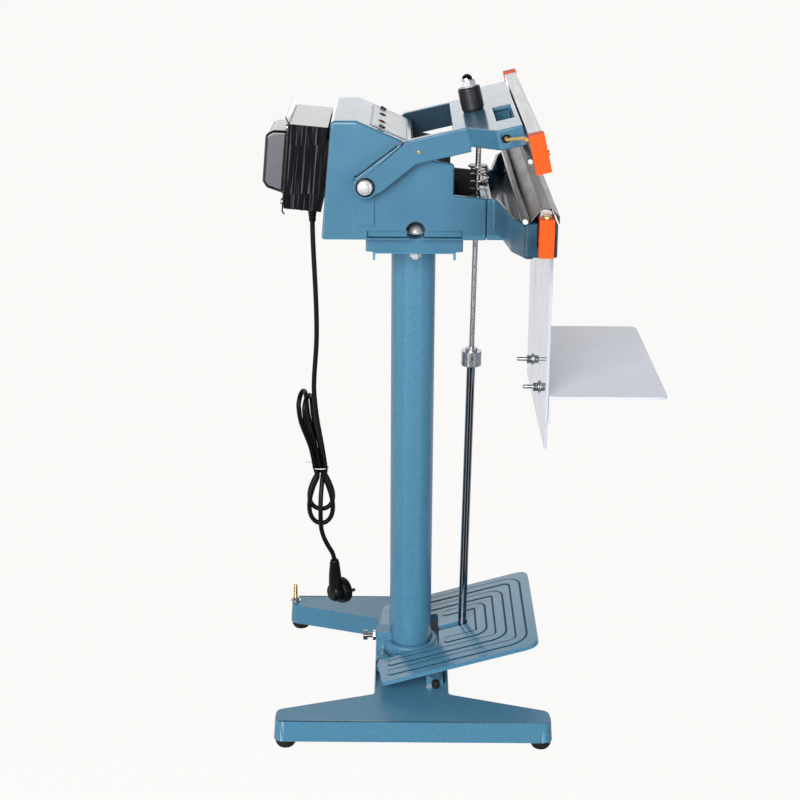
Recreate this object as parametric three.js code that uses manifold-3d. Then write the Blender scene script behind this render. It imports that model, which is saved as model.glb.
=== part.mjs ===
// Foot-pedal impulse heat sealer: a floor stand with a column, a head that carries the lower jaw,
// a swinging arm frame with the upper jaw, and a pedal that pulls the arm down through a rod.
// Millimetres, +Z up. The operator stands at -Y and looks along +Y, so -X is the left side.
// The arm frame and the pedal are drawn level and then turned about their own pivots to rest.
import * as THREE from 'three';
import { mergeVertices } from 'three/addons/utils/BufferGeometryUtils.js';
import Module from 'manifold-3d';

const wasm = await Module();
wasm.setup();

// ---- driving dimensions -------------------------------------------------------------------
const GAP = 0.3;                          // clearance kept between pieces that touch
const FOOT_HEIGHT = 14;                   // rubber feet, floor to casting
const BASE_TOP = 43;                      // flat top of the base casting
const BASE_HALF_WIDTH = 190;
const BASE_REAR = 178;
const BASE_FRONT = -190;
const COLUMN_Y = -2;
const COLUMN_RADIUS = 29;
const COLUMN_WALL = 2.5;
const COLUMN_BOTTOM = 46;
const COLUMN_TOP = 650;
const SOCKET_TOP = 70;
const PLATE_THICK = 3;                    // folded plate on top of the column
const HEAD_HALF_WIDTH = 96;
const HEAD_WALL = 7;
const HEAD_BOTTOM = 672;
const HEAD_FLOOR = 694;                   // floor inside the head
const HEAD_PARTING = -92;                 // where the lower jaw beam is bolted on
const ARM_PIVOT = { y: 59, z: 742 };
const ARM_OPEN = 13.3;                    // degrees that the arm stands open at rest
const ARM_INNER = 101;
const ARM_OUTER = 114;
const ARM_TOP = 785.5;                    // top of the arm frame with the jaws closed
const SPINDLE_Y = -91;                    // pressure spindle, jaws closed
const LINK_Z = 752;                       // pin between spindle and pull rod, jaws closed
const JAW_Y = -153;                       // middle of both jaws, closed
const JAW_HALF = 247;                     // metal part of each jaw
const JAW_CAP_REACH = 21;                 // how far an end cap stands beyond the metal
const SEAL_Z = 746;                       // height where the jaws meet
const BEAM_HALF = 245;
const BEAM_BOTTOM = 687;
const BEAM_TOP = 727.5;
const PEDAL_PIVOT = { y: 36, z: 54 };
const PEDAL_RISE = 16;                    // degrees that the pedal stands nose-up at rest
const PEDAL_THICK = 6;
const PEDAL_SKIN = 8.2;                   // tread surface above the pedal pivot
const PEDAL_HALF_WIDTH = 117;
const PEDAL_LENGTH = 221;                 // pivot to front edge
const PEDAL_ROD_REACH = 118;              // pivot to the pull rod's slot
const BOARD_HALF_WIDTH = 154;
const BOARD_BOTTOM = 417;
const BOARD_THICK = 4;
const BOARD_SLOT_X = 60;
const TRAY_TOP = 487;
const TRAY_FRONT = -321.5;
const TRAY_HALF_WIDTH = 157;
const TRAY_THICK = 3;
const CORE_TILT = 5;                      // degrees, the slope of the head's rear wall
const BELL_REACH = 80;                    // rear bell, out from the head's rear wall
const CORD_X = -30;
const CORD_RADIUS = 3.2;

// ---- materials ----------------------------------------------------------------------------
const paint = (color, roughness, metalness) => new THREE.MeshStandardMaterial({ color, roughness, metalness });
const BLUE = paint(0x4f93b5, 0.4, 0.1);
const CHROME = paint(0xc9ccd2, 0.12, 1.0);
const ZINC = paint(0xa9adb1, 0.35, 1.0);
const BRASS = paint(0xc9a14a, 0.35, 1.0);
const ALUMINIUM = paint(0xc4c6c9, 0.35, 1.0);
const LAMINATION = paint(0x26262b, 0.5, 0.7);
const BLACK_STEEL = paint(0x1c1d21, 0.35, 0.5);
const COPPER = paint(0x9a4a22, 0.45, 0.9);
const BLACK_PLASTIC = paint(0x15161a, 0.45, 0.0);
const RUBBER = paint(0x101012, 0.85, 0.0);
const ORANGE = paint(0xff6a20, 0.45, 0.0);
const CLOTH = paint(0x6e5f55, 0.4, 0.0);
const LABEL = paint(0xd9dadb, 0.5, 0.1);
const WHITE_SHEET = paint(0xd5d8e2, 0.3, 0.0);
const CLEAR_SHEET = paint(0xe6e8f2, 0.08, 0.0);
const GREEN_LENS = paint(0x0c4a24, 0.2, 0.0);
const RED_LENS = paint(0x7d1216, 0.2, 0.0);
const YELLOW = paint(0xe3b52c, 0.45, 0.0);
const CIRCUIT = paint(0x2c5a35, 0.6, 0.0);

// ---- helpers ------------------------------------------------------------------------------
// The extrusion runs along +Z; SIDE lays a (y, z) outline into the side plane and runs it along +X.
const SIDE = new THREE.Matrix4().makeBasis(
  new THREE.Vector3(0, 1, 0),
  new THREE.Vector3(0, 0, 1),
  new THREE.Vector3(1, 0, 0),
);

const toSolid = (geometry) => {
  const bare = geometry.index ? geometry.toNonIndexed() : geometry.clone();
  for (const name of Object.keys(bare.attributes)) {
    if (name !== 'position') bare.deleteAttribute(name);
  }
  const merged = mergeVertices(bare, 1e-4);
  return new wasm.Manifold(new wasm.Mesh({
    numProp: 3,
    vertProperties: new Float32Array(merged.attributes.position.array),
    triVerts: new Uint32Array(merged.index.array),
  }));
};

const toGeometry = (solid) => {
  const data = solid.getMesh();
  const geometry = new THREE.BufferGeometry();
  geometry.setAttribute('position', new THREE.BufferAttribute(new Float32Array(data.vertProperties), 3));
  geometry.setIndex(new THREE.BufferAttribute(new Uint32Array(data.triVerts), 1));
  return geometry;
};

const join = (...solids) => solids.reduce((a, b) => a.add(b));
const cut = (solid, ...tools) => tools.reduce((a, b) => a.subtract(b), solid);

// A polygon with a round corner at every point that has a third number, its radius.
const outline = (points) => {
  const shape = new THREE.Shape();
  points.forEach((point, i) => {
    const before = points[(i + points.length - 1) % points.length];
    const after = points[(i + 1) % points.length];
    const corner = new THREE.Vector2(point[0], point[1]);
    const radius = point[2] ?? 0;
    const back = new THREE.Vector2(before[0], before[1]).sub(corner).normalize();
    const ahead = new THREE.Vector2(after[0], after[1]).sub(corner).normalize();
    const half = Math.acos(Math.min(1, Math.max(-1, back.dot(ahead)))) / 2;
    const trim = radius / Math.tan(half);
    const start = back.multiplyScalar(trim).add(corner);
    const end = ahead.multiplyScalar(trim).add(corner);
    if (i === 0) shape.moveTo(start.x, start.y);
    else shape.lineTo(start.x, start.y);
    if (radius > 0) shape.quadraticCurveTo(corner.x, corner.y, end.x, end.y);
  });
  shape.closePath();
  return shape;
};

const mirrored = (points) => [...points, ...points.map(([x, y, r]) => [-x, y, r]).reverse()];

const slab = (points, z0, z1, corners = 3) => {
  const geometry = new THREE.ExtrudeGeometry(outline(points), {
    depth: z1 - z0,
    bevelEnabled: false,
    curveSegments: corners,
  });
  return toSolid(geometry.translate(0, 0, z0));
};

const side = (points, x0, x1, corners = 3) => {
  const geometry = new THREE.ExtrudeGeometry(outline(points), {
    depth: x1 - x0,
    bevelEnabled: false,
    curveSegments: corners,
  });
  return toSolid(geometry.applyMatrix4(SIDE).translate(x0, 0, 0));
};

const box = (x0, x1, y0, y1, z0, z1) => {
  const geometry = new THREE.BoxGeometry(x1 - x0, y1 - y0, z1 - z0);
  return toSolid(geometry.translate((x0 + x1) / 2, (y0 + y1) / 2, (z0 + z1) / 2));
};

// A turned piece: (radius, height) pairs from the axis back to the axis, about +Z.
const turned = (profile, sides = 20) => {
  const points = profile.map(([r, z]) => new THREE.Vector2(r, z));
  return toSolid(new THREE.LatheGeometry(points, sides).rotateX(Math.PI / 2));
};

const rodZ = (radius, x, y, z0, z1, sides = 20) =>
  turned([[0, z0], [radius, z0], [radius, z1], [0, z1]], sides).translate([x, y, 0]);

const rodX = (radius, y, z, x0, x1, sides = 20) =>
  rodZ(radius, 0, 0, x0, x1, sides).rotate([0, 90, 0]).translate([0, y, z]);

const rodY = (radius, x, z, y0, y1, sides = 20) =>
  rodZ(radius, 0, 0, -y1, -y0, sides).rotate([90, 0, 0]).translate([x, 0, z]);

const hexZ = (acrossFlats, x, y, z0, z1) => rodZ(acrossFlats / Math.sqrt(3), x, y, z0, z1, 6);
const hexY = (acrossFlats, x, z, y0, y1) => rodY(acrossFlats / Math.sqrt(3), x, z, y0, y1, 6);

const tubeAlong = (points, radius, steps, sides) => {
  const path = new THREE.CatmullRomCurve3(points.map((p) => new THREE.Vector3(...p)));
  const section = new THREE.Shape();
  section.absarc(0, 0, radius, 0, 2 * Math.PI);
  const ring = new THREE.Shape(section.getSpacedPoints(sides).slice(0, sides));
  return toSolid(new THREE.ExtrudeGeometry(ring, { steps, extrudePath: path, bevelEnabled: false }));
};

const sealer = new THREE.Group();
const armFrame = new THREE.Group();
const pedalFrame = new THREE.Group();
const transformerFrame = new THREE.Group();
const rearY = 109;                        // the head's rear wall at the transformer's middle
const rearZ = 755;
armFrame.position.set(0, ARM_PIVOT.y, ARM_PIVOT.z);
armFrame.rotation.x = THREE.MathUtils.degToRad(-ARM_OPEN);
pedalFrame.position.set(0, PEDAL_PIVOT.y, PEDAL_PIVOT.z);
pedalFrame.rotation.x = THREE.MathUtils.degToRad(-PEDAL_RISE);
transformerFrame.position.set(0, rearY, rearZ);
transformerFrame.rotation.x = THREE.MathUtils.degToRad(CORE_TILT);
sealer.add(armFrame, pedalFrame, transformerFrame);

const place = (name, solid, material, parent = sealer) => {
  const mesh = new THREE.Mesh(toGeometry(solid), material);
  mesh.name = name;
  parent.add(mesh);
};

// Pieces of the arm frame are drawn in closed position, in the main axes, and moved to the pivot.
const placeOnArm = (name, solid, material) =>
  place(name, solid.translate([0, -ARM_PIVOT.y, -ARM_PIVOT.z]), material, armFrame);

const SIDES = [['left', -1], ['right', 1]];

// ---- base ---------------------------------------------------------------------------------
function makeBase() {
  const legInnerTip = 158;
  const legInnerRoot = 114;
  const bridgeRear = 46;
  const bridgeFront = -54;
  const plan = [
    [legInnerRoot, bridgeFront, 8],
    [legInnerTip, BASE_FRONT + 4, 12],
    [BASE_HALF_WIDTH, BASE_FRONT, 12],
    [BASE_HALF_WIDTH, BASE_REAR, 12],
    [legInnerTip, BASE_REAR - 2, 12],
    [legInnerRoot, bridgeRear, 8],
    [-legInnerRoot, bridgeRear, 8],
    [-legInnerTip, BASE_REAR - 2, 12],
    [-BASE_HALF_WIDTH, BASE_REAR, 12],
    [-BASE_HALF_WIDTH, BASE_FRONT, 12],
    [-legInnerTip, BASE_FRONT + 4, 12],
    [-legInnerRoot, bridgeFront, 8],
  ];
  const skirt = slab(plan, FOOT_HEIGHT + GAP, BASE_TOP, 5);
  const wall = 7;
  const pocketTop = BASE_TOP - 7;
  const bridgePocket = box(-legInnerRoot, legInnerRoot, bridgeFront + wall, bridgeRear - wall, 0, pocketTop);
  const legPockets = SIDES.map(([, s]) => slab([
    [s * (BASE_HALF_WIDTH - wall), -150],
    [s * (BASE_HALF_WIDTH - wall), 140],
    [s * (legInnerTip - 4), 140],
    [s * (legInnerRoot - 2 + wall), bridgeRear - wall],
    [s * (legInnerRoot - 2 + wall), bridgeFront + wall],
    [s * (legInnerTip - 4), -150],
  ], 0, pocketTop));
  const socket = rodZ(38, 0, COLUMN_Y, pocketTop - 10, SOCKET_TOP, 40);
  const clampBoss = box(-13, 13, 20, 46, BASE_TOP - 1, 84);
  const hingeLugs = SIDES.map(([, s]) => side([
    [26, BASE_TOP - 1],
    [46, BASE_TOP - 1],
    [46, 64, 8],
    [26, 64, 8],
  ], s > 0 ? 38.5 : -46, s > 0 ? 46 : -38.5));
  const stopLug = box(-90, -62, -47, -24, BASE_TOP - 1, 52);
  const casting = join(cut(skirt, bridgePocket, ...legPockets), socket, clampBoss, ...hingeLugs, stopLug);
  place('base_casting', cut(
    casting,
    rodZ(COLUMN_RADIUS + GAP, 0, COLUMN_Y, COLUMN_BOTTOM - GAP, 200, 40),
    rodZ(18, 0, COLUMN_Y, 0, 200, 24),
    rodX(5.3, PEDAL_PIVOT.y, PEDAL_PIVOT.z, -60, 60),
    rodY(4.3, 0, 74, 20, 60),
    rodZ(3.3, 174, 172, 0, 60, 16),
  ), BLUE);
  place('column', cut(
    rodZ(COLUMN_RADIUS, 0, COLUMN_Y, COLUMN_BOTTOM, COLUMN_TOP, 40),
    rodZ(COLUMN_RADIUS - COLUMN_WALL, 0, COLUMN_Y, 0, 700, 40),
  ), BLUE);
  const columnBack = COLUMN_Y + COLUMN_RADIUS + GAP;
  place('column_clamp_bolt', join(
    rodY(4, 0, 74, columnBack, 60, 16),
    hexY(13, 0, 74, 58, 65),
    hexY(13, 0, 74, 46 + GAP, 51),
  ), ZINC);
  for (const [name, s] of SIDES) {
    for (const [end, y] of [['front', -176], ['rear', 164]]) {
      place(`rubber_foot_${name}_${end}`, turned([
        [0, 0],
        [11, 0],
        [14, 4],
        [14, FOOT_HEIGHT],
        [0, FOOT_HEIGHT],
      ], 20).translate([s * 174, y, 0]), RUBBER);
    }
  }
  place('levelling_stud', join(
    rodZ(3, 174, 172, FOOT_HEIGHT + 2, 70, 16),
    hexZ(10, 174, 172, BASE_TOP + GAP, BASE_TOP + 5.5),
  ), BRASS);
}

// ---- column plate and head ----------------------------------------------------------------
const HEAD_PROFILE = [
  [114, HEAD_BOTTOM, 4],
  [101.5, 820, 7],
  [70, 820, 8],
  [2, 791, 2],
  [-4, 776, 2],
  [-51, 767, 5],
  [-51, 728, 3],
  [HEAD_PARTING, 724],
  [HEAD_PARTING, HEAD_BOTTOM],
];

function makeHead() {
  const plateTop = COLUMN_TOP + GAP + PLATE_THICK;
  const footBottom = plateTop + GAP;
  const footTop = 674;
  const boltX = 66;
  const boltY = -4;
  const plate = box(-80, 80, -55, 50, COLUMN_TOP + GAP, plateTop);
  const lips = [[-55, -52], [47, 50]].map(([y0, y1]) => box(-80, 80, y0, y1, 642, plateTop));
  const boltHoles = SIDES.map(([, s]) => rodZ(4.3, s * boltX, boltY, 600, 700, 16));
  place('column_top_plate', cut(join(plate, ...lips), ...boltHoles), BLUE);

  const shell = side(HEAD_PROFILE, -HEAD_HALF_WIDTH, HEAD_HALF_WIDTH);
  const foot = slab([
    [-84, -64, 5],
    [84, -64, 5],
    [84, 59, 5],
    [-84, 59, 5],
  ], footBottom, HEAD_BOTTOM + 5);
  const w = HEAD_WALL;
  const inner = HEAD_HALF_WIDTH - w;
  const cavity = side([
    [112 - w, HEAD_FLOOR],
    [102 - w, 820 - w],
    [72, 820 - w],
    [0, 784],
    [0, 900],
    [HEAD_PARTING + w, 900],
    [HEAD_PARTING + w, HEAD_FLOOR],
  ], -inner, inner);
  const underside = box(-inner, inner, 62, 106, HEAD_BOTTOM - 1, HEAD_FLOOR - 6);
  const pockets = SIDES.map(([, s]) => {
    const [x0, x1] = s > 0 ? [55, 97] : [-97, -55];
    return join(
      side([[-62, footTop], [57, footTop], [57, 683.5, 2], [-62, 683.5, 2]], x0, x1),
      rodX(12.5, boltY, 683, x0, x1, 28),
    );
  });
  const slope = Math.atan2(820 - 791, 70 - 2);
  const onSlope = (solid) => solid.rotate([THREE.MathUtils.radToDeg(slope), 0, 0]).translate([0, 70, 820]);
  const lampY = -33;
  const lampX = 27;
  const dialX = 71;
  const stemWays = SIDES.map(([, s]) => onSlope(rodZ(2.6, s * dialX, lampY, -14, 4, 14)));
  const rodWay = box(-6, 6, -99, -76, 600, 800);
  const springWay = box(-14, 14, -101, -70, HEAD_FLOOR, 800);
  const coilWay = box(-42, 42, 80, 130, 725, 785);
  place('head_housing', cut(
    join(shell, foot),
    cavity,
    underside,
    ...pockets,
    rodWay,
    springWay,
    coilWay,
    ...boltHoles,
    ...stemWays,
    rodX(5.3, ARM_PIVOT.y, ARM_PIVOT.z, -100, -60),
    rodX(5.3, ARM_PIVOT.y, ARM_PIVOT.z, 60, 100),
  ), BLUE);

  for (const [name, s] of SIDES) {
    const head = turned([[0, footTop + GAP], [9.5, footTop + GAP], [9, 680], [6, 685], [0, 686.5]], 20);
    place(`head_bolt_${name}`, join(
      head,
      rodZ(4, 0, 0, 640, 680, 16),
      hexZ(13, 0, 0, 643, COLUMN_TOP),
    ).translate([s * boltX, boltY, 0]), CHROME);
  }

  // The label plate lies on the sloping top: two lamps between two timer dials, in one row.
  place('control_panel', onSlope(cut(
    slab([[-78, -68, 3], [78, -68, 3], [78, -18, 3], [-78, -18, 3]], GAP, 1.3),
    rodZ(4.4, -lampX, lampY, -5, 5, 16),
    rodZ(4.4, lampX, lampY, -5, 5, 16),
    rodZ(2.6, -dialX, lampY, -5, 5, 14),
    rodZ(2.6, dialX, lampY, -5, 5, 14),
  )), LABEL);
  const lamp = turned([[0, GAP], [4.1, GAP], [4.1, 2.2], [2.6, 3.6], [0, 4]], 16);
  place('lamp_heat', onSlope(lamp.translate([-lampX, lampY, 0])), RED_LENS);
  place('lamp_power', onSlope(lamp.translate([lampX, lampY, 0])), GREEN_LENS);
  const dial = join(
    turned([[0, 1.6], [5.4, 1.6], [5, 7], [4.4, 7.8], [0, 7.8]], 20),
    rodZ(2.2, 0, 0, -10, 2, 14),
    box(-0.6, 0.6, 0, 4.8, 7, 8.4),
  );
  for (const [name, s] of SIDES) {
    place(`timer_dial_${name}`, onSlope(dial.translate([s * dialX, lampY, 0])), BLACK_PLASTIC);
  }

  // inside the head
  place('timer_board', box(-70, 30, 12, 78, HEAD_FLOOR + 6, HEAD_FLOOR + 8), CIRCUIT);
  place('micro_switch', join(
    box(70, 82, -60, -32, HEAD_FLOOR + GAP, HEAD_FLOOR + 17),
    box(74, 78, -50, -46, HEAD_FLOOR + 16, HEAD_FLOOR + 20),
  ), BLACK_PLASTIC);
}

// ---- transformer, in its own frame: +Y out from the head's rear wall, +Z up ----------------
function makeTransformer() {
  const coreHalf = 79;
  const coreBack = 48.5;
  const legHalf = 20;
  const windowHalf = 27;
  const windows = [[-40, -legHalf], [legHalf, 40]].map(([x0, x1]) =>
    box(x0, x1, -10, 60, -windowHalf, windowHalf));
  place('transformer_core', cut(
    box(-coreHalf, coreHalf, 1.2, coreBack, -53, 54),
    ...windows,
  ), LAMINATION, transformerFrame);
  place('transformer_coil', cut(
    box(-40 + GAP, 40 - GAP, -18, 68, -26.5, 26.5),
    box(-legHalf - GAP, legHalf + GAP, 0.9, coreBack + GAP, -30, 30),
  ), COPPER, transformerFrame);
  const frameFront = coreBack + GAP;
  const frameBack = frameFront + 2;
  place('transformer_frame', cut(
    join(
      box(-coreHalf - 1, coreHalf + 1, frameFront, frameBack, -57, 57),
      side([[frameFront, 55], [frameBack, 55], [frameBack + 4, 62], [frameBack + 2.2, 62.6]], -80, 80),
      side([[frameFront, -55], [frameFront - 3, -59], [frameFront - 1.5, -60], [frameBack, -56]], -80, 80),
    ),
    box(-41, 41, 40, 70, -29, 29),
  ), BLACK_STEEL, transformerFrame);
  const bellFront = frameBack + GAP;
  const bellOuter = [
    [bellFront, -42],
    [BELL_REACH - 6, -36, 8],
    [BELL_REACH, -28, 6],
    [BELL_REACH, 32, 8],
    [BELL_REACH - 10, 38, 6],
    [bellFront, 39],
  ];
  const bellInner = [
    [40, -34],
    [BELL_REACH - 9, -32, 4],
    [BELL_REACH - 3, -26, 4],
    [BELL_REACH - 3, 28, 5],
    [BELL_REACH - 10, 34, 4],
    [40, 34],
  ];
  place('transformer_bell', cut(
    side(bellOuter, -44, 44, 5),
    side(bellInner, -41, 41, 4),
  ), BLACK_STEEL, transformerFrame);
}

// ---- arm frame, drawn closed ---------------------------------------------------------------
function makeArm() {
  const bossRadius = 16;
  const webTop = ARM_TOP;
  const rearPlan = -78;
  const sideArm = (x0, x1) => {
    const bar = side([
      [50, 756],
      [45, 729],
      [-8, 755],
      [rearPlan, 755],
      [rearPlan, webTop],
      [0, webTop, 10],
      [49, 756],
    ].reverse(), x0, x1);
    const boss = rodX(bossRadius, ARM_PIVOT.y, ARM_PIVOT.z, x0, x1, 28);
    const neck = side([
      [52, 728],
      [-9, 755],
      [-2, webTop - 2, 6],
      [8, webTop - 3, 8],
      [69, 755],
    ].reverse(), x0, x1);
    return join(bar, boss, neck);
  };
  const wing = (s) => {
    const points = [
      [s * ARM_INNER, -70],
      [s * ARM_OUTER, -70],
      [s * ARM_OUTER, -78],
      [s * 180, -112, 6],
      [s * 180, -143],
      [s * 168, -143],
      [s * 168, -117],
      [s * ARM_INNER, -84],
    ];
    return slab(s > 0 ? points.reverse() : points, 761, webTop);
  };
  const web = slab([
    [-ARM_INNER - 2, -61, 2],
    [ARM_INNER + 2, -61, 2],
    [ARM_INNER + 2, -80],
    [170, -113],
    [170, -143],
    [-170, -143],
    [-170, -113],
    [-ARM_INNER - 2, -80],
  ].reverse(), webTop - 6, webTop);
  const ribs = [
    box(-ARM_INNER - 2, ARM_INNER + 2, -67, -61, 769, webTop - 1),
    box(-172, 172, -143, -136, 761, webTop - 6),
    box(-14, -8, -136, -66, 766, webTop - 1),
    box(8, 14, -136, -66, 766, webTop - 1),
  ];
  const frame = join(
    sideArm(-ARM_OUTER, -ARM_INNER),
    sideArm(ARM_INNER, ARM_OUTER),
    wing(-1),
    wing(1),
    web,
    ...ribs,
  );
  placeOnArm('arm_frame', cut(
    frame,
    box(-116, -16, -137, -115, 778, 790),
    rodZ(5.4, 0, SPINDLE_Y, 700, 800, 20),
    rodX(5, -121, 773.5, -190, -160, 16),
    rodX(6.5, ARM_PIVOT.y, ARM_PIVOT.z, -130, 130),
  ), BLUE);

  for (const [name, s] of SIDES) {
    const along = (a, b) => (s > 0 ? [a, b] : [-b, -a]);
    place(`pivot_bolt_${name}`, join(
      rodX(5, ARM_PIVOT.y, ARM_PIVOT.z, ...along(82, 118)),
      rodX(9.5, ARM_PIVOT.y, ARM_PIVOT.z, ...along(116, 121), 28),
      rodX(6.5, ARM_PIVOT.y, ARM_PIVOT.z, ...along(120, 123), 24),
    ), CHROME);
    place(`pivot_bush_${name}`, cut(
      join(
        rodX(11.5, ARM_PIVOT.y, ARM_PIVOT.z, ...along(ARM_OUTER + GAP, 115.7), 28),
        rodX(6.2, ARM_PIVOT.y, ARM_PIVOT.z, ...along(97, 115)),
      ),
      rodX(5.3, ARM_PIVOT.y, ARM_PIVOT.z, ...along(90, 120)),
    ), BLACK_PLASTIC);
  }

  // pressure spindle, its spring in a sleeve, and the cap nut that sets the pressure
  const cheek = (x0, x1) => side([
    [SPINDLE_Y - 7, LINK_Z - 8, 5],
    [SPINDLE_Y + 7, LINK_Z - 8, 5],
    [SPINDLE_Y + 7, LINK_Z + 19],
    [SPINDLE_Y - 7, LINK_Z + 19],
  ], x0, x1);
  placeOnArm('pressure_spindle', join(
    cheek(-7.5, -5),
    cheek(5, 7.5),
    box(-7.5, 7.5, SPINDLE_Y - 7, SPINDLE_Y + 7, LINK_Z + 15, LINK_Z + 19),
    rodX(3.5, SPINDLE_Y, LINK_Z, -6, 6, 20),
    rodZ(5, 0, SPINDLE_Y, LINK_Z + 16, 824, 20),
  ), ZINC);
  const sleeveBottom = webTop + GAP;
  const sleeveTop = sleeveBottom + 30;
  placeOnArm('pressure_sleeve', turned([
    [11.6, sleeveBottom],
    [13.6, sleeveBottom],
    [13.6, sleeveBottom + 2],
    [14.4, sleeveBottom + 3],
    [14.4, sleeveTop - 1],
    [13.6, sleeveTop],
    [5.6, sleeveTop],
    [5.6, sleeveTop - 3],
    [11.6, sleeveTop - 3],
    [11.6, sleeveBottom],
  ], 32).translate([0, SPINDLE_Y, 0]), BLACK_PLASTIC);
  placeOnArm('acorn_nut', cut(
    turned([
      [0, sleeveTop + GAP],
      [11, sleeveTop + GAP],
      [11, sleeveTop + 1.8],
      [9, sleeveTop + 1.8],
      [9, sleeveTop + 8],
      [8.2, sleeveTop + 12],
      [5.5, sleeveTop + 15.5],
      [0, sleeveTop + 17],
    ], 24).translate([0, SPINDLE_Y, 0]),
    rodZ(5.3, 0, SPINDLE_Y, sleeveTop, 825, 20),
  ), CHROME);
}

// ---- jaws ---------------------------------------------------------------------------------
function makeUpperJaw() {
  const half = 8;
  const barFront = JAW_Y - half;
  const barRear = JAW_Y + half;
  placeOnArm('upper_jaw_bar', side([
    [barFront, SEAL_Z + 2.6],
    [barRear, SEAL_Z + 2.6],
    [barRear, 785, 1],
    [barFront, 785, 1],
  ], -JAW_HALF, JAW_HALF), ALUMINIUM);
  for (const [name, s] of SIDES) {
    const x0 = s > 0 ? JAW_HALF + GAP : -JAW_HALF - JAW_CAP_REACH;
    placeOnArm(`upper_cap_${name}`, side([
      [JAW_Y - 9, 741.5, 1],
      [JAW_Y + 9, 741.5, 1],
      [JAW_Y + 9, 786.5, 1],
      [JAW_Y - 9, 786.5, 1],
    ], x0, x0 + JAW_CAP_REACH - GAP), ORANGE);
  }
  placeOnArm('upper_seal_cloth', side([
    [barFront, SEAL_Z + 0.8, 1],
    [barRear, SEAL_Z + 0.8, 1],
    [barRear, SEAL_Z + 2.3],
    [barFront, SEAL_Z + 2.3],
  ], -JAW_HALF + 6, JAW_HALF - 6), CLOTH);
  placeOnArm('upper_clamp_rod', rodX(3.6, barRear + 4, SEAL_Z + 8, -JAW_HALF + 3, JAW_HALF - 3, 14), CHROME);
  placeOnArm('jaw_wire_sleeve', tubeAlong([
    [-172, -121, 773.5],
    [-184, -121.5, 773.5],
    [-200, -127, 775.5],
    [-226, -136, 779],
    [-244, -140.8, 781],
    [-257, -141.6, 781.5],
  ], 2.1, 12, 8), YELLOW);
}

function makeLowerJaw() {
  const front = -167.5;
  const rear = -131;
  const plan = mirrored([
    [HEAD_HALF_WIDTH, HEAD_PARTING - GAP],
    [HEAD_HALF_WIDTH, -103, 4],
    [205, -116, 8],
    [240, rear, 4],
    [240, -140],
  ]).reverse();
  const wings = slab(plan, 684, 724);
  const neck = box(-HEAD_HALF_WIDTH, HEAD_HALF_WIDTH, -118, HEAD_PARTING - GAP, HEAD_BOTTOM, 700);
  const bar = box(-BEAM_HALF, BEAM_HALF, front, rear, BEAM_BOTTOM, BEAM_TOP);
  const pocket = slab(mirrored([
    [HEAD_HALF_WIDTH - 7, HEAD_PARTING - 7],
    [HEAD_HALF_WIDTH - 3, -108],
    [200, -122],
    [222, -130],
    [222, -137],
  ]).reverse(), 695, 760);
  const trough = box(-250, 250, -162, -144, 699, 760);
  place('lower_jaw_beam', cut(
    join(wings, neck, bar),
    pocket,
    trough,
    box(-6, 6, -99, -80, 600, 800),
    box(-14, 14, -101, -80, HEAD_FLOOR, 800),
  ), BLUE);
  place('lower_jaw_bar', side([
    [-160, 699 + GAP],
    [-146, 699 + GAP],
    [-146, 742],
    [-150, 744.6],
    [-156, 744.6],
    [-160, 742],
  ], -JAW_HALF + 2, JAW_HALF - 2), ALUMINIUM);
  place('heating_element', box(-JAW_HALF + 4, JAW_HALF - 4, -155, -151, 744.9, 745.2), ZINC);
  const crest = SEAL_Z + 0.3;
  place('lower_seal_cloth', side([
    [-167.9, 728.2],
    [-169, 728.2],
    [-168.6, 737, 2],
    [-158.5, crest, 2],
    [-147.5, crest, 2],
    [-134.5, 730],
    [-135.4, 729.4],
    [-147.9, crest - 0.8, 1],
    [-158.1, crest - 0.8, 1],
    [-167.6, 736.6, 1],
  ].reverse(), -JAW_HALF, JAW_HALF), CLOTH);
  for (const [name, s] of SIDES) {
    const x0 = s > 0 ? JAW_HALF + GAP : -JAW_HALF - JAW_CAP_REACH;
    place(`lower_cap_${name}`, side([
      [-161.5, 692, 1],
      [-144.5, 692, 1],
      [-144.5, 737, 1],
      [-161.5, 737, 1],
    ], x0, x0 + JAW_CAP_REACH - GAP), ORANGE);
  }
  place('guide_rod', rodX(4, -128.5, BEAM_TOP + 4.4, -JAW_HALF, JAW_HALF, 16), CHROME);
}

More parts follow.
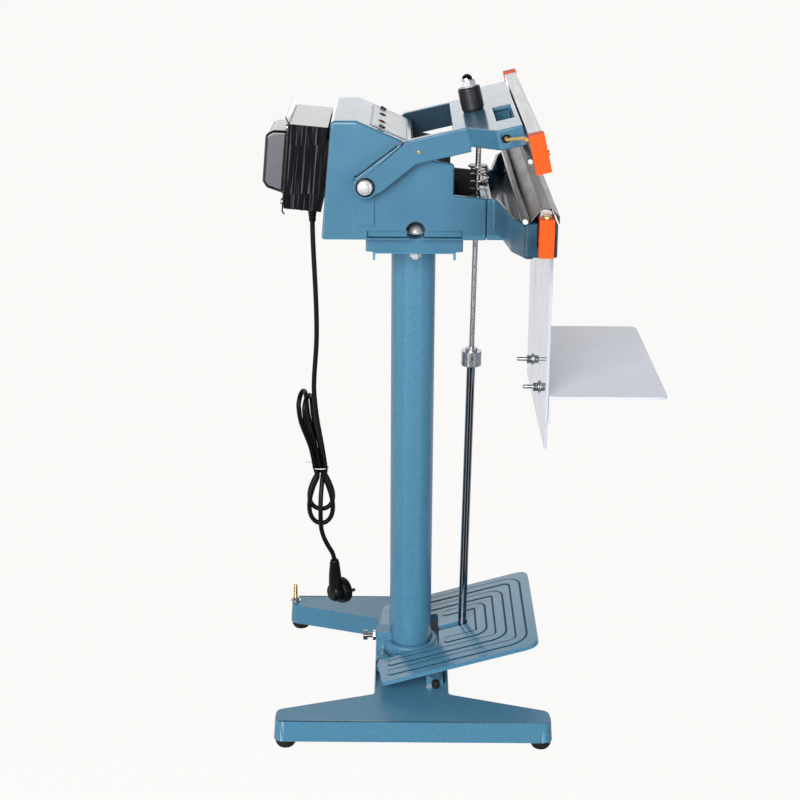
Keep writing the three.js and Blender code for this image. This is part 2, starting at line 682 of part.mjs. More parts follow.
// ---- backboard and tray -------------------------------------------------------------------
function makeTray() {
  const boardFront = -167.5 - GAP - BOARD_THICK;
  const boardRear = boardFront + BOARD_THICK;
  const slots = SIDES.map(([, s]) =>
    box(s * BOARD_SLOT_X - 3.5, s * BOARD_SLOT_X + 3.5, boardFront - 5, boardRear + 5, 440, 640));
  place('backboard', cut(
    box(-BOARD_HALF_WIDTH, BOARD_HALF_WIDTH, boardFront, boardRear, BOARD_BOTTOM, 722),
    ...slots,
  ), CLEAR_SHEET);
  const flangeRear = boardFront - GAP;
  const flangeFront = flangeRear - TRAY_THICK;
  const shelf = slab([
    [-TRAY_HALF_WIDTH, TRAY_FRONT, 12],
    [TRAY_HALF_WIDTH, TRAY_FRONT, 12],
    [TRAY_HALF_WIDTH, flangeRear],
    [-TRAY_HALF_WIDTH, flangeRear],
  ], TRAY_TOP - TRAY_THICK, TRAY_TOP, 6);
  const flange = box(-TRAY_HALF_WIDTH, TRAY_HALF_WIDTH, flangeFront, flangeRear, 450, TRAY_TOP - 1);
  const boltZ = 468;
  place('tray', cut(
    join(shelf, flange),
    ...SIDES.map(([, s]) => rodY(3.4, s * BOARD_SLOT_X, boltZ, flangeFront - 2, flangeRear + 2, 14)),
  ), WHITE_SHEET);
  for (const [name, s] of SIDES) {
    const x = s * BOARD_SLOT_X;
    place(`tray_bolt_${name}`, join(
      hexY(10, x, boltZ, flangeFront - GAP - 4.5, flangeFront - GAP),
      rodY(3, x, boltZ, flangeFront - 1, -146, 16),
      rodY(8, x, boltZ, boardRear + GAP, boardRear + 2, 20),
      hexY(11, x, boltZ, boardRear + 1.5, boardRear + 8),
    ), ZINC);
  }
}

// ---- pedal, drawn level about its pivot -----------------------------------------------------
function makePedal() {
  const cutHalf = 50;
  const cutFront = -83.5;
  const slotHalf = 7;
  const rearEnd = 5;
  const front = -PEDAL_LENGTH;
  const half = [
    [PEDAL_HALF_WIDTH, front, 20],
    [PEDAL_HALF_WIDTH, rearEnd - 6, 6],
    [cutHalf, rearEnd, 4],
    [cutHalf, cutFront, 10],
    [slotHalf, cutFront],
    [slotHalf, -PEDAL_ROD_REACH - 8, 6],
  ];
  const plan = mirrored(half).reverse();
  const plate = slab(plan, PEDAL_SKIN - PEDAL_THICK, PEDAL_SKIN, 6);
  const ears = SIDES.map(([, s]) => {
    const [x0, x1] = s > 0 ? [cutHalf, 62] : [-62, -cutHalf];
    return rodX(8, 0, 0, x0, x1, 24);
  });
  const ribs = SIDES.map(([, s]) => {
    const [x0, x1] = s > 0 ? [cutHalf + 4, cutHalf + 9] : [-cutHalf - 9, -cutHalf - 4];
    return side([[-205, PEDAL_SKIN - 4], [-150, -5], [-6, -5], [0, PEDAL_SKIN - 4]].reverse(), x0, x1);
  });
  const pin = rodX(5.3, 0, 0, -70, 70);
  place('pedal', cut(join(plate, ...ears, ...ribs), pin), BLUE, pedalFrame);
  place('pedal_shaft', rodX(5, PEDAL_PIVOT.y, PEDAL_PIVOT.z, -64, 64), ZINC);
}

// ---- pull rod -----------------------------------------------------------------------------
function makePullRod() {
  const open = THREE.MathUtils.degToRad(ARM_OPEN);
  const reach = { y: SPINDLE_Y - ARM_PIVOT.y, z: LINK_Z - ARM_PIVOT.z };
  const top = {
    y: ARM_PIVOT.y + reach.y * Math.cos(open) + reach.z * Math.sin(open),
    z: ARM_PIVOT.z - reach.y * Math.sin(open) + reach.z * Math.cos(open),
  };
  const rise = THREE.MathUtils.degToRad(PEDAL_RISE);
  const foot = {
    y: PEDAL_PIVOT.y - PEDAL_ROD_REACH * Math.cos(rise) + PEDAL_SKIN * Math.sin(rise),
    z: PEDAL_PIVOT.z + PEDAL_ROD_REACH * Math.sin(rise) + PEDAL_SKIN * Math.cos(rise),
  };
  const lean = THREE.MathUtils.radToDeg(Math.atan2(foot.y - top.y, top.z - foot.z));
  const length = Math.hypot(top.z - foot.z, foot.y - top.y);
  // drawn upright with its foot at zero, then leaned so that the top meets the spindle's pin
  const upright = (solid) => solid.rotate([lean, 0, 0]).translate([0, foot.y, foot.z]);
  const collarBottom = 390;
  const eye = cut(rodX(9.5, 0, length, -4, 4, 24), rodX(5.2, 0, length, -5, 5, 24));
  const seat = length - 40;
  place('pull_rod_upper', upright(join(
    eye,
    rodZ(3.5, 0, 0, 330, length - 8, 18),
    rodZ(12.5, 0, 0, seat, seat + 2.5, 24),
  )), ZINC);
  const tube = cut(rodZ(5.7, 0, 0, -19, collarBottom, 24), rodZ(3.9, 0, 0, 320, 500, 18));
  place('pull_rod_lower', upright(tube), CHROME);
  place('rod_collar', upright(cut(
    join(rodZ(13.5, 0, 0, collarBottom - 6, collarBottom + 14, 28), rodZ(8, 0, 0, collarBottom + 13, collarBottom + 18, 20)),
    rodZ(6.1, 0, 0, collarBottom - 10, collarBottom + GAP, 24),
    rodZ(3.8, 0, 0, collarBottom - 10, collarBottom + 30, 18),
    rodY(2.4, 0, collarBottom + 7, -20, 0, 12),
  )), ZINC);
  place('rod_foot_nut', upright(cut(
    join(hexZ(17, 0, 0, -20, -12), rodZ(11, 0, 0, -12.5, -10.5)),
    rodZ(6, 0, 0, -30, 0, 24),
  )), ZINC);

  const springBottom = HEAD_FLOOR + 1.6;
  const springTop = foot.z + seat - 2.2;
  const springY = top.y - 2;
  const turns = 6;
  const perTurn = 12;
  const coil = [];
  for (let i = 0; i <= turns * perTurn; i += 1) {
    const angle = (2 * Math.PI * i) / perTurn;
    const z = springBottom + (i / (turns * perTurn)) * (springTop - springBottom);
    coil.push([11.2 * Math.cos(angle), springY + 11.2 * Math.sin(angle), z]);
  }
  place('return_spring', tubeAlong(coil, 1, turns * perTurn, 6), ZINC);
}

// ---- mains cord ---------------------------------------------------------------------------
function makeCord() {
  place('cord_relief', turned([[0, 680], [4.2, 680], [6.6, 702.5], [0, 702.5]], 16)
    .translate([CORD_X, 128.5, 0]), RUBBER);
  place('cord_drop', tubeAlong([
    [CORD_X, 128.5, 679.7],
    [CORD_X, 128.3, 660],
    [CORD_X, 127.2, 630],
    [CORD_X, 126, 600],
    [CORD_X, 125, 570],
    [CORD_X, 124.6, 540],
    [CORD_X, 125.2, 515],
    [CORD_X, 127, 490],
    [CORD_X, 129.2, 468],
    [CORD_X, 130, 446],
  ], CORD_RADIUS, 16, 8), RUBBER);
  place('cord_hank', side([
    [122, 445, 13],
    [154, 445, 13],
    [145, 257, 16],
    [103, 257, 16],
  ].reverse(), CORD_X - 11, CORD_X + 11, 6), RUBBER);
  place('cord_tail', tubeAlong([
    [CORD_X, 121, 256.7],
    [CORD_X - 0.8, 119.4, 246],
    [CORD_X - 3.6, 114.4, 234],
    [CORD_X - 7.2, 106.6, 223],
    [CORD_X - 8.7, 103.3, 214],
    [CORD_X - 8.8, 103.1, 209.5],
  ], CORD_RADIUS, 6, 8), RUBBER);
  const disc = rodX(18.5, 0, 0, -4, 9, 28);
  const shell = rodX(13.5, 0, 0, -16, -3, 24);
  const neck = turned([[0, 6], [9, 6], [8, 28], [6, 49], [0, 49]], 16)
    .rotate([-2.5, 0, 0])
    .translate([-8, 0, 0]);
  const pins = [-9.5, 9.5].map((y) => rodX(2.4, y, 0, 8, 28, 10));
  place('mains_plug', join(disc, shell, neck, ...pins)
    .rotate([0, 0, -52])
    .translate([CORD_X - 5.5, 95.5, 160.3]), BLACK_PLASTIC);
}

makeBase();
makeHead();
makeTransformer();
makeArm();
makeUpperJaw();
makeLowerJaw();
makeTray();
makePedal();
makePullRod();

// the origin is the middle of the footprint, the mains cord left out of it
sealer.updateMatrixWorld(true);
const bounds = new THREE.Box3().setFromObject(sealer, true);
sealer.position.y = -(bounds.min.y + bounds.max.y) / 2;
makeCord();

export default sealer;
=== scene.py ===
"""Looks of a foot-pedal impulse heat sealer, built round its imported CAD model.

Lengths in the tables are millimetres in the maker's frame, whose Y starts at the stand's own drawing
line; at() turns them into metres in the row frame.
"""
import math
import random

import bmesh
import bpy
from mathutils import Matrix, Vector


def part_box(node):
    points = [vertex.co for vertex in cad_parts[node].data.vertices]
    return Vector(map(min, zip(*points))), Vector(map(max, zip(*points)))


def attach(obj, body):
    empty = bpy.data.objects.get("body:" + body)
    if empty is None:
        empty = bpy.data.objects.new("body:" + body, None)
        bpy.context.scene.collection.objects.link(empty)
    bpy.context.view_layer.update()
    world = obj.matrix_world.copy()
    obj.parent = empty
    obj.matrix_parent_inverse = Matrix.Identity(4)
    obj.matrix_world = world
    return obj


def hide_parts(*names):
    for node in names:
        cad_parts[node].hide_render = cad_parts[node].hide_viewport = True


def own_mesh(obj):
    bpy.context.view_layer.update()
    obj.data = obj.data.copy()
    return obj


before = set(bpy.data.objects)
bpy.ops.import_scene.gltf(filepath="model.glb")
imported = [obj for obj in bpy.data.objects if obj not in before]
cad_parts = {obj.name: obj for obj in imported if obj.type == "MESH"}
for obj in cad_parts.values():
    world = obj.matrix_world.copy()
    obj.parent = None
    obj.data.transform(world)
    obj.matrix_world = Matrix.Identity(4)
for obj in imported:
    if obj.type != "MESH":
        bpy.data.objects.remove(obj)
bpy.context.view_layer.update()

MM = 0.001
COLUMN_CENTRE = (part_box("column")[0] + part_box("column")[1]) / 2
COLUMN_AHEAD = 2.0      # mm from the drawing line forward to the column's axis
SHIFT_Y = COLUMN_CENTRE.y / MM + COLUMN_AHEAD
SHARP = math.radians(28)
SIDES = (("left", -1), ("right", 1))


def at(x, y, z):
    """A point of the maker's drawing, in the row frame."""
    return Vector((x, y + SHIFT_Y, z)) * MM


def moved_to(x, y, z):
    """A move from the row frame's origin to a point of the maker's drawing."""
    return Matrix.Translation(at(x, y, z))


def shifted(x, y, z):
    """A move by so many millimetres."""
    return Matrix.Translation(Vector((x, y, z)) * MM)


def tilted(degrees, axis="X"):
    return Matrix.Rotation(math.radians(degrees), 4, axis)


ARM_PIVOT = (0, 59, 742)
ARM_OPEN = 13.3
PEDAL_RISE = 16
CORE_TILT = 5
HEAD_SLOPE = math.degrees(math.atan2(29, 68))
ARM_FRAME = moved_to(*ARM_PIVOT) @ tilted(-ARM_OPEN) @ moved_to(*ARM_PIVOT).inverted()
PEDAL_FRAME = moved_to(0, 36, 54) @ tilted(-PEDAL_RISE)
CORE_FRAME = moved_to(0, 109, 755) @ tilted(CORE_TILT)
COLUMN_FRAME = Matrix.Translation(Vector((COLUMN_CENTRE.x, COLUMN_CENTRE.y, 0)))
PANEL_FRAME = moved_to(0, 70, 820) @ tilted(HEAD_SLOPE)


# ---- camera ---------------------------------------------------------------------------------
CAMERA_PLACE = (-2116, 10.87, 1156)
CAMERA_PITCH = 19.0
CAMERA_YAW = 0.1
CAMERA_ROLL = 0.35
CAMERA_LENS = 74.475


def make_camera():
    data = bpy.data.cameras.new("camera")
    data.sensor_width = 36.0
    data.lens = CAMERA_LENS
    data.clip_end = 50.0
    camera = bpy.data.objects.new("camera", data)
    bpy.context.scene.collection.objects.link(camera)
    pitch = math.radians(CAMERA_PITCH)
    roll = math.radians(CAMERA_ROLL)
    turn = Matrix.Rotation(math.radians(CAMERA_YAW), 4, "Z")
    right = turn @ Vector((0, -1, 0))
    ahead = turn @ Vector((1, 0, 0))
    upright = Vector((0, 0, 1))
    sight = ahead * math.cos(pitch) - upright * math.sin(pitch)
    up = upright * math.cos(pitch) + ahead * math.sin(pitch)
    across = right * math.cos(roll) + up * math.sin(roll)
    above = up * math.cos(roll) - right * math.sin(roll)
    axes = Matrix((across, above, -sight)).transposed().to_4x4()
    camera.matrix_world = moved_to(*CAMERA_PLACE) @ axes
    bpy.context.scene.camera = camera


make_camera()


# ---- shaders --------------------------------------------------------------------------------
def map_range(tree, source, start, end, low, high):
    """A node that takes start to low and end to high."""
    node = tree.nodes.new("ShaderNodeMapRange")
    for key, value in (("From Min", start), ("From Max", end), ("To Min", low), ("To Max", high)):
        node.inputs[key].default_value = value
    tree.links.new(source, node.inputs["Value"])
    return node.outputs["Result"]


class Shader:
    """One material with a Principled shader and a few named ways to vary it."""

    def __init__(self, name):
        self.material = bpy.data.materials.new(name)
        self.material.use_nodes = True
        self.tree = self.material.node_tree
        self.tree.nodes.clear()
        self.surface = self.add("ShaderNodeBsdfPrincipled")
        output = self.add("ShaderNodeOutputMaterial")
        self.link(self.surface.outputs["BSDF"], output.inputs["Surface"])
        self.place = self.add("ShaderNodeTexCoord").outputs["Object"]

    def add(self, kind, **settings):
        node = self.tree.nodes.new(kind)
        for key, value in settings.items():
            setattr(node, key, value)
        return node

    def link(self, source, target):
        self.tree.links.new(source, target)

    def set(self, **values):
        for key, value in values.items():
            self.surface.inputs[key.replace("_", " ")].default_value = value
        return self

    def mapped(self, stretch=(1, 1, 1)):
        mapping = self.add("ShaderNodeMapping")
        mapping.inputs["Scale"].default_value = stretch
        self.link(self.place, mapping.inputs["Vector"])
        return mapping.outputs["Vector"]

    def noise(self, size_mm, detail=3.0, stretch=(1, 1, 1)):
        """Cloudy noise whose blotches are about size_mm across."""
        node = self.add("ShaderNodeTexNoise")
        node.inputs["Scale"].default_value = 1 / (size_mm * MM)
        node.inputs["Detail"].default_value = detail
        self.link(self.mapped(stretch), node.inputs["Vector"])
        return node.outputs["Fac"]

    def cells(self, size_mm):
        """Rounded cells of about size_mm, 0 in their middles."""
        node = self.add("ShaderNodeTexVoronoi", feature="SMOOTH_F1")
        node.inputs["Scale"].default_value = 1 / (size_mm * MM)
        node.inputs["Smoothness"].default_value = 0.6
        self.link(self.mapped(), node.inputs["Vector"])
        return node.outputs["Distance"]

    def wave(self, size_mm, direction="X"):
        node = self.add("ShaderNodeTexWave", bands_direction=direction)
        node.inputs["Scale"].default_value = 1 / (size_mm * MM)
        self.link(self.place, node.inputs["Vector"])
        return node.outputs["Fac"]

    def ramp(self, factor, low, high, start=0.3, end=0.7):
        """A colour that runs from low to high as factor goes from start to end."""
        node = self.add("ShaderNodeValToRGB")
        node.color_ramp.elements[0].position = start
        node.color_ramp.elements[1].position = end
        node.color_ramp.elements[0].color = (*low, 1)
        node.color_ramp.elements[1].color = (*high, 1)
        self.link(factor, node.inputs["Fac"])
        return node.outputs["Color"]

    def spread(self, factor, low, high, start=0.3, end=0.7):
        """A value that runs from low to high as factor goes from start to end."""
        return map_range(self.tree, factor, start, end, low, high)

    def math(self, operation, a, b):
        node = self.add("ShaderNodeMath", operation=operation)
        for socket, value in zip(node.inputs, (a, b)):
            if isinstance(value, (int, float)):
                socket.default_value = value
            else:
                self.link(value, socket)
        return node.outputs["Value"]

    def colour(self, source):
        self.link(source, self.surface.inputs["Base Color"])
        return self

    def rough(self, source):
        self.link(source, self.surface.inputs["Roughness"])
        return self

    def bump(self, height, depth_mm, strength=1.0):
        node = self.add("ShaderNodeBump")
        node.inputs["Strength"].default_value = strength
        node.inputs["Distance"].default_value = depth_mm * MM
        self.link(height, node.inputs["Height"])
        self.link(node.outputs["Normal"], self.surface.inputs["Normal"])
        return self


def srgb(r, g, b):
    """A colour given as 0 to 255 screen values, made linear."""
    def linear(v):
        v /= 255
        return v / 12.92 if v <= 0.04045 else ((v + 0.055) / 1.055) ** 2.4
    return linear(r), linear(g), linear(b)


def smooth_paint(name, low, high):
    """Glossy paint with painted shade low down toward the jaw, above the column's top plate."""
    s = Shader(name)
    s.set(Metallic=0.0, Coat_Weight=0.9, Coat_Roughness=0.12, Coat_IOR=1.55, Specular_IOR_Level=0.25)
    split = s.add("ShaderNodeSeparateXYZ")
    s.link(s.place, split.inputs["Vector"])
    toward_jaw = s.spread(split.outputs["Y"], 1.0, 0.0, -0.075, 0.03)
    below_arm = s.spread(split.outputs["Z"], 1.0, 0.0, 0.71, 0.76)
    above_plate = s.spread(split.outputs["Z"], 0.0, 1.0, 0.676, 0.68)
    # Painted shade: a darker blue mixed in toward the jaw, below the arm and above the column's top plate.
    painted_shade = s.math("MULTIPLY", s.math("MULTIPLY", toward_jaw, below_arm), above_plate)
    clean = s.ramp(s.noise(60, 2), low, high)
    mix = s.add("ShaderNodeMix", data_type="RGBA")
    s.link(painted_shade, mix.inputs["Factor"])
    s.link(clean, mix.inputs["A"])
    mix.inputs["B"].default_value = (*srgb(30, 70, 91), 1)
    s.colour(mix.outputs["Result"])
    s.rough(s.spread(s.noise(9, 3), 0.36, 0.5))
    return s.bump(s.noise(2.2, 2), 0.05, 0.5).material


def hammered_paint(name, depth_mm, coat, coat_roughness):
    s = Shader(name)
    s.set(Metallic=0.0, Coat_Weight=coat, Coat_Roughness=coat_roughness, Coat_IOR=1.5)
    s.set(Specular_IOR_Level=0.3)
    pits = s.cells(2.6)
    s.colour(s.ramp(pits, srgb(82, 138, 168), srgb(72, 127, 156), 0.15, 0.75))
    s.rough(s.spread(s.noise(6, 3), 0.34, 0.5))
    grain = s.math("ADD", s.math("MULTIPLY", pits, -0.7), s.noise(1.3, 3))
    return s.bump(grain, depth_mm, 0.55).material


def shaded_paint():
    """The same paint darkened as painted shade, for where it lies deep: beside a raised band, on the arm's
    inner faces and under the pedal.
    """
    s = Shader("blue_paint_shaded")
    s.set(Metallic=0.0, Specular_IOR_Level=0.3)
    s.colour(s.ramp(s.noise(12, 3), srgb(22, 52, 69), srgb(31, 64, 83)))
    s.rough(s.spread(s.noise(6, 3), 0.5, 0.65))
    return s.bump(s.noise(1.3, 3), 0.1, 0.5).material


def metal(name, colour, rough_low, rough_high, grain_mm=6.0, stretch=(1, 1, 1), depth=0.02):
    s = Shader(name)
    s.set(Metallic=1.0)
    dark = tuple(v * 0.86 for v in colour)
    s.colour(s.ramp(s.noise(grain_mm * 3, 2, stretch), dark, colour))
    s.rough(s.spread(s.noise(grain_mm, 3, stretch), rough_low, rough_high))
    return s.bump(s.noise(grain_mm / 4, 3, stretch), depth, 0.5).material


def plastic(name, colour, rough, vary=0.85, grain_mm=0.9, depth=0.03, coat=0.0, specular=0.5):
    s = Shader(name)
    s.set(Metallic=0.0, Coat_Weight=coat, Coat_Roughness=0.1, Specular_IOR_Level=specular)
    low = tuple(v * vary for v in colour)
    s.colour(s.ramp(s.noise(14, 3), low, colour))
    s.rough(s.spread(s.noise(4, 3), rough * 0.85, min(1.0, rough * 1.15)))
    return s.bump(s.noise(grain_mm, 3), depth, 0.6).material


UPPER_JOINT = 0.787     # metres up the core, where the sheets of the stack change
LOWER_JOINT = 0.726


def lamination_steel():
    """Varnished sheet edges: streaks along the sheets, broken where the E and I sheets of the stack meet."""
    s = Shader("lamination_steel")
    s.set(Metallic=0.0, Specular_IOR_Level=0.08)
    split = s.add("ShaderNodeSeparateXYZ")
    s.link(s.place, split.inputs["Vector"])
    height = split.outputs["Z"]
    upper = s.math("MULTIPLY", s.math("GREATER_THAN", height, UPPER_JOINT), 0.031)
    lower = s.math("MULTIPLY", s.math("LESS_THAN", height, LOWER_JOINT), 0.057)
    lean = s.math("MULTIPLY", height, math.tan(math.radians(CORE_TILT)))
    through_stack = s.math("ADD", split.outputs["Y"], lean)
    join = s.add("ShaderNodeCombineXYZ")
    s.link(s.math("ADD", through_stack, s.math("ADD", upper, lower)), join.inputs["Y"])
    s.link(s.math("MULTIPLY", height, 0.02), join.inputs["Z"])
    streak = s.add("ShaderNodeTexNoise")
    streak.inputs["Scale"].default_value = 330
    streak.inputs["Detail"].default_value = 2.5
    streak.inputs["Roughness"].default_value = 0.6
    s.link(join.outputs["Vector"], streak.inputs["Vector"])
    s.colour(s.ramp(streak.outputs["Fac"], srgb(7, 7, 10), srgb(108, 109, 120), 0.54, 0.76))
    s.rough(s.spread(s.noise(4, 3), 0.4, 0.6))
    return s.bump(streak.outputs["Fac"], 0.2, 0.5).material


def satin_zinc():
    """Dull clear-plated steel, paler and softer than bright zinc."""
    s = Shader("satin_zinc")
    s.set(Metallic=0.35, Specular_IOR_Level=0.6)
    s.colour(s.ramp(s.noise(5, 3), srgb(206, 207, 212), srgb(226, 227, 231)))
    s.rough(s.spread(s.noise(2, 3), 0.2, 0.34))
    return s.bump(s.noise(1.2, 2), 0.03, 0.4).material


def coated_cloth():
    """Smooth brown-grey coated glass cloth with its fine weave just showing."""
    s = Shader("coated_glass_cloth")
    s.set(Metallic=0.25, Specular_IOR_Level=0.4, Coat_Weight=0.12, Coat_Roughness=0.25)
    weave = s.math("MULTIPLY", s.wave(1.1, "X"), s.wave(1.1, "DIAGONAL"))
    s.colour(s.ramp(s.noise(22, 4, (0.25, 1, 1)), srgb(92, 84, 80), srgb(134, 127, 123)))
    s.rough(s.spread(s.noise(12, 4, (0.3, 1, 1)), 0.36, 0.5))
    return s.bump(weave, 0.05, 0.5).material


def woven_sleeve():
    s = Shader("yellow_sleeve")
    s.set(Metallic=0.0, Sheen_Weight=0.2)
    braid = s.math("MULTIPLY", s.wave(0.9, "X"), s.wave(0.9, "Y"))
    s.colour(s.ramp(braid, srgb(202, 150, 28), srgb(246, 205, 66), 0.1, 0.7))
    s.rough(s.spread(braid, 0.45, 0.6))
    return s.bump(braid, 0.15, 0.7).material


def polished_sheet():
    """A pale clear sheet, seen against white."""
    s = Shader("pale_sheet")
    s.set(Metallic=0.0, Coat_Weight=0.6, Coat_Roughness=0.04, Transmission_Weight=0.25, IOR=1.49)
    s.colour(s.ramp(s.noise(90, 2), srgb(224, 227, 240), srgb(236, 238, 247)))
    s.rough(s.spread(s.noise(30, 3), 0.06, 0.16))
    return s.bump(s.noise(40, 2), 0.05, 0.2).material


def enamel_sheet():
    s = Shader("tray_enamel")
    s.set(Metallic=0.0, Coat_Weight=0.8, Coat_Roughness=0.08)
    s.colour(s.ramp(s.noise(70, 2), srgb(220, 224, 240), srgb(228, 232, 247)))
    s.rough(s.spread(s.noise(60, 2), 0.3, 0.34))
    return s.bump(s.noise(90, 1), 0.02, 0.1).material


def label_print():
    s = Shader("label_print")
    s.set(Metallic=0.0, Coat_Weight=0.5, Coat_Roughness=0.15)
    s.colour(s.ramp(s.noise(25, 3), srgb(206, 206, 209), srgb(222, 222, 224)))
    s.rough(s.spread(s.noise(8, 3), 0.3, 0.42))
    return s.bump(s.noise(0.8, 2), 0.02, 0.3).material


def lens(name, dark, bright):
    s = Shader(name)
    s.set(Metallic=0.0, Coat_Weight=1.0, Coat_Roughness=0.03)
    s.colour(s.ramp(s.cells(1.1), bright, dark, 0.1, 0.6))
    s.rough(s.spread(s.noise(2, 2), 0.1, 0.2))
    return s.bump(s.cells(1.1), 0.1, 0.5).material


def circuit_board():
    s = Shader("circuit_board")
    s.set(Metallic=0.0, Coat_Weight=0.6)
    s.colour(s.ramp(s.cells(3.5), srgb(52, 96, 62), srgb(30, 66, 40), 0.2, 0.6))
    s.rough(s.spread(s.noise(3, 3), 0.3, 0.5))
    return s.bump(s.cells(3.5), 0.1, 0.4).material


PAINT = smooth_paint("blue_paint_smooth", srgb(64, 117, 145), srgb(71, 125, 154))
# Painted light: a lighter copy of the smooth paint, so the column's top plate, shaded by the head above,
# looks as bright as the head's side.
LIGHTENED_PLATE_PAINT = smooth_paint("blue_paint_plate_lightened", srgb(80, 142, 174), srgb(87, 150, 183))
HAMMERED = hammered_paint("blue_paint_hammered", 0.35, 0.45, 0.22)
TREAD = hammered_paint("blue_paint_tread", 0.07, 0.8, 0.16)
SHADED = shaded_paint()
CHROME = metal("chrome", (0.86, 0.87, 0.89), 0.04, 0.12)
DARK_CHROME = metal("dark_chrome", (0.27, 0.3, 0.34), 0.05, 0.12)
ROD_STEEL = metal("brown_steel", (0.2, 0.17, 0.16), 0.32, 0.46, 4.0, (0.1, 1, 1))
ZINC = metal("bright_zinc", (0.62, 0.63, 0.65), 0.22, 0.42, 3.0, (1, 1, 1), 0.06)
YELLOW_ZINC = metal("yellow_zinc", (0.66, 0.47, 0.17), 0.22, 0.4, 2.5)
BRASS = metal("brass", (0.72, 0.52, 0.2), 0.18, 0.32, 2.0)
DRAWN_BAR = metal("drawn_aluminium", (0.68, 0.68, 0.69), 0.28, 0.42, 2.2, (0.03, 1, 1), 0.03)
COPPER = metal("varnished_copper", (0.15, 0.065, 0.035), 0.35, 0.5, 1.2, (0.1, 1, 1), 0.1)
BLACK_ENAMEL = plastic("black_enamel", srgb(20, 20, 23), 0.3, 0.7, 3.0, 0.05, coat=0.8)
GREY_ENAMEL = plastic("grey_enamel", srgb(104, 102, 113), 0.35, 0.9, 3.0, 0.05, coat=0.5)
BLACK_PLASTIC = plastic("black_plastic", srgb(24, 25, 28), 0.38)
KNURLED = plastic("knob_plastic", srgb(34, 36, 42), 0.42, 0.7, 1.6, 0.1)
CORE_TOP = plastic("core_top_varnish", srgb(40, 40, 44), 0.3, 0.95, 8.0, 0.004, coat=0.8)
SATIN = satin_zinc()
INTERIOR = plastic("bare_inside", srgb(56, 52, 54), 0.5, 0.8, 2.0, 0.06)
RUBBER = plastic("black_rubber", srgb(20, 20, 21), 0.7, 0.7, 0.7, 0.06)
CORD_RUBBER = plastic("cord_rubber", srgb(9, 9, 12), 0.42, 0.75, 1.0, 0.04, specular=0.22)
ORANGE = plastic("orange_plastic", srgb(250, 86, 8), 0.5, 0.95, 1.2, 0.04, specular=0.25)
WHITE_NYLON = plastic("white_nylon", srgb(226, 226, 226), 0.5, 0.92)
LAMINATION = lamination_steel()
CLOTH = coated_cloth()
SLEEVE = woven_sleeve()
SHEET = polished_sheet()
ENAMEL = enamel_sheet()
LABEL = label_print()
INK = plastic("label_ink", srgb(34, 34, 36), 0.5)
RED_LENS = lens("red_lens", srgb(96, 14, 18), srgb(170, 36, 38))
GREEN_LENS = lens("green_lens", srgb(10, 44, 24), srgb(22, 92, 48))
CIRCUIT = circuit_board()


# ---- mesh helpers ---------------------------------------------------------------------------
def place(name, bm, material, body, nodes=(), bevel=0.0, segments=2, extra=(),
          edge_material=-1, clamp=True):
    """Turns a bmesh into a finished piece: bevelled edges, smooth faces, a material and a body."""
    bmesh.ops.recalc_face_normals(bm, faces=bm.faces)
    mesh = bpy.data.meshes.new(name)
    for face in bm.faces:
        face.smooth = True
    if not bevel:
        for edge in bm.edges:
            edge.smooth = edge.calc_face_angle(0) < SHARP
    bm.to_mesh(mesh)
    bm.free()
    piece = bpy.data.objects.new(name, mesh)
    bpy.context.scene.collection.objects.link(piece)
    for entry in (material, *extra):
        mesh.materials.append(entry)
    if bevel > 0:
        rounding = piece.modifiers.new("edges", "BEVEL")
        rounding.width = bevel * MM
        rounding.segments = segments
        rounding.limit_method = "ANGLE"
        rounding.angle_limit = SHARP
        rounding.use_clamp_overlap = clamp
        rounding.miter_outer = "MITER_ARC"
        rounding.material = edge_material
    shading = piece.modifiers.new("normals", "WEIGHTED_NORMAL")
    shading.keep_sharp = True
    shading.weight = 100
    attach(piece, body)
    if nodes:
        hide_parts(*nodes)
    return piece


def cad_copy(node):
    """A CAD node's surface with its flat faces made whole again."""
    bm = bmesh.new()
    bm.from_mesh(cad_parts[node].data)
    bmesh.ops.remove_doubles(bm, verts=bm.verts, dist=0.02 * MM)
    bmesh.ops.dissolve_limit(bm, angle_limit=math.radians(0.6), verts=bm.verts, edges=bm.edges)
    return bm


def refined(node, material, body, bevel, segments=2):
    """A CAD node with soft edges in place of its drawn ones."""
    return place(node + "_finished", cad_copy(node), material, body, [node], bevel, segments)


def lathe(bm, profile, matrix, sides=48):
    """A turned solid from (radius, height) pairs in mm: from axis to axis, or round a ring and back."""
    closed = profile[0] == profile[-1]
    rings = []
    for radius, height in profile[:-1] if closed else profile:
        if radius < 1e-6:
            rings.append([bm.verts.new(matrix @ Vector((0, 0, height * MM)))])
            continue
        ring = []
        for i in range(sides):
            angle = 2 * math.pi * i / sides
            point = Vector((radius * math.cos(angle), radius * math.sin(angle), height)) * MM
            ring.append(bm.verts.new(matrix @ point))
        rings.append(ring)
    if closed:
        rings.append(rings[0])
    for low, high in zip(rings, rings[1:]):
        for i in range(sides):
            j = (i + 1) % sides
            corners = [low[i % len(low)], low[j % len(low)], high[j % len(high)], high[i % len(high)]]
            unique = list(dict.fromkeys(corners))
            if len(unique) > 2:
                bm.faces.new(unique)


def turned(name, profile, matrix, material, body, nodes=(), sides=48):
    """A turned solid as a piece of its own."""
    bm = bmesh.new()
    lathe(bm, profile, matrix, sides)
    return place(name, bm, material, body, nodes)


def thread(start, pitch, turns, crest, root, rise):
    """Profile points of a screw thread: for each turn a crest, and a root that much further on."""
    points = []
    for i in range(turns):
        z = start + i * pitch
        points += [(crest, z), (root, z + rise)]
    return points


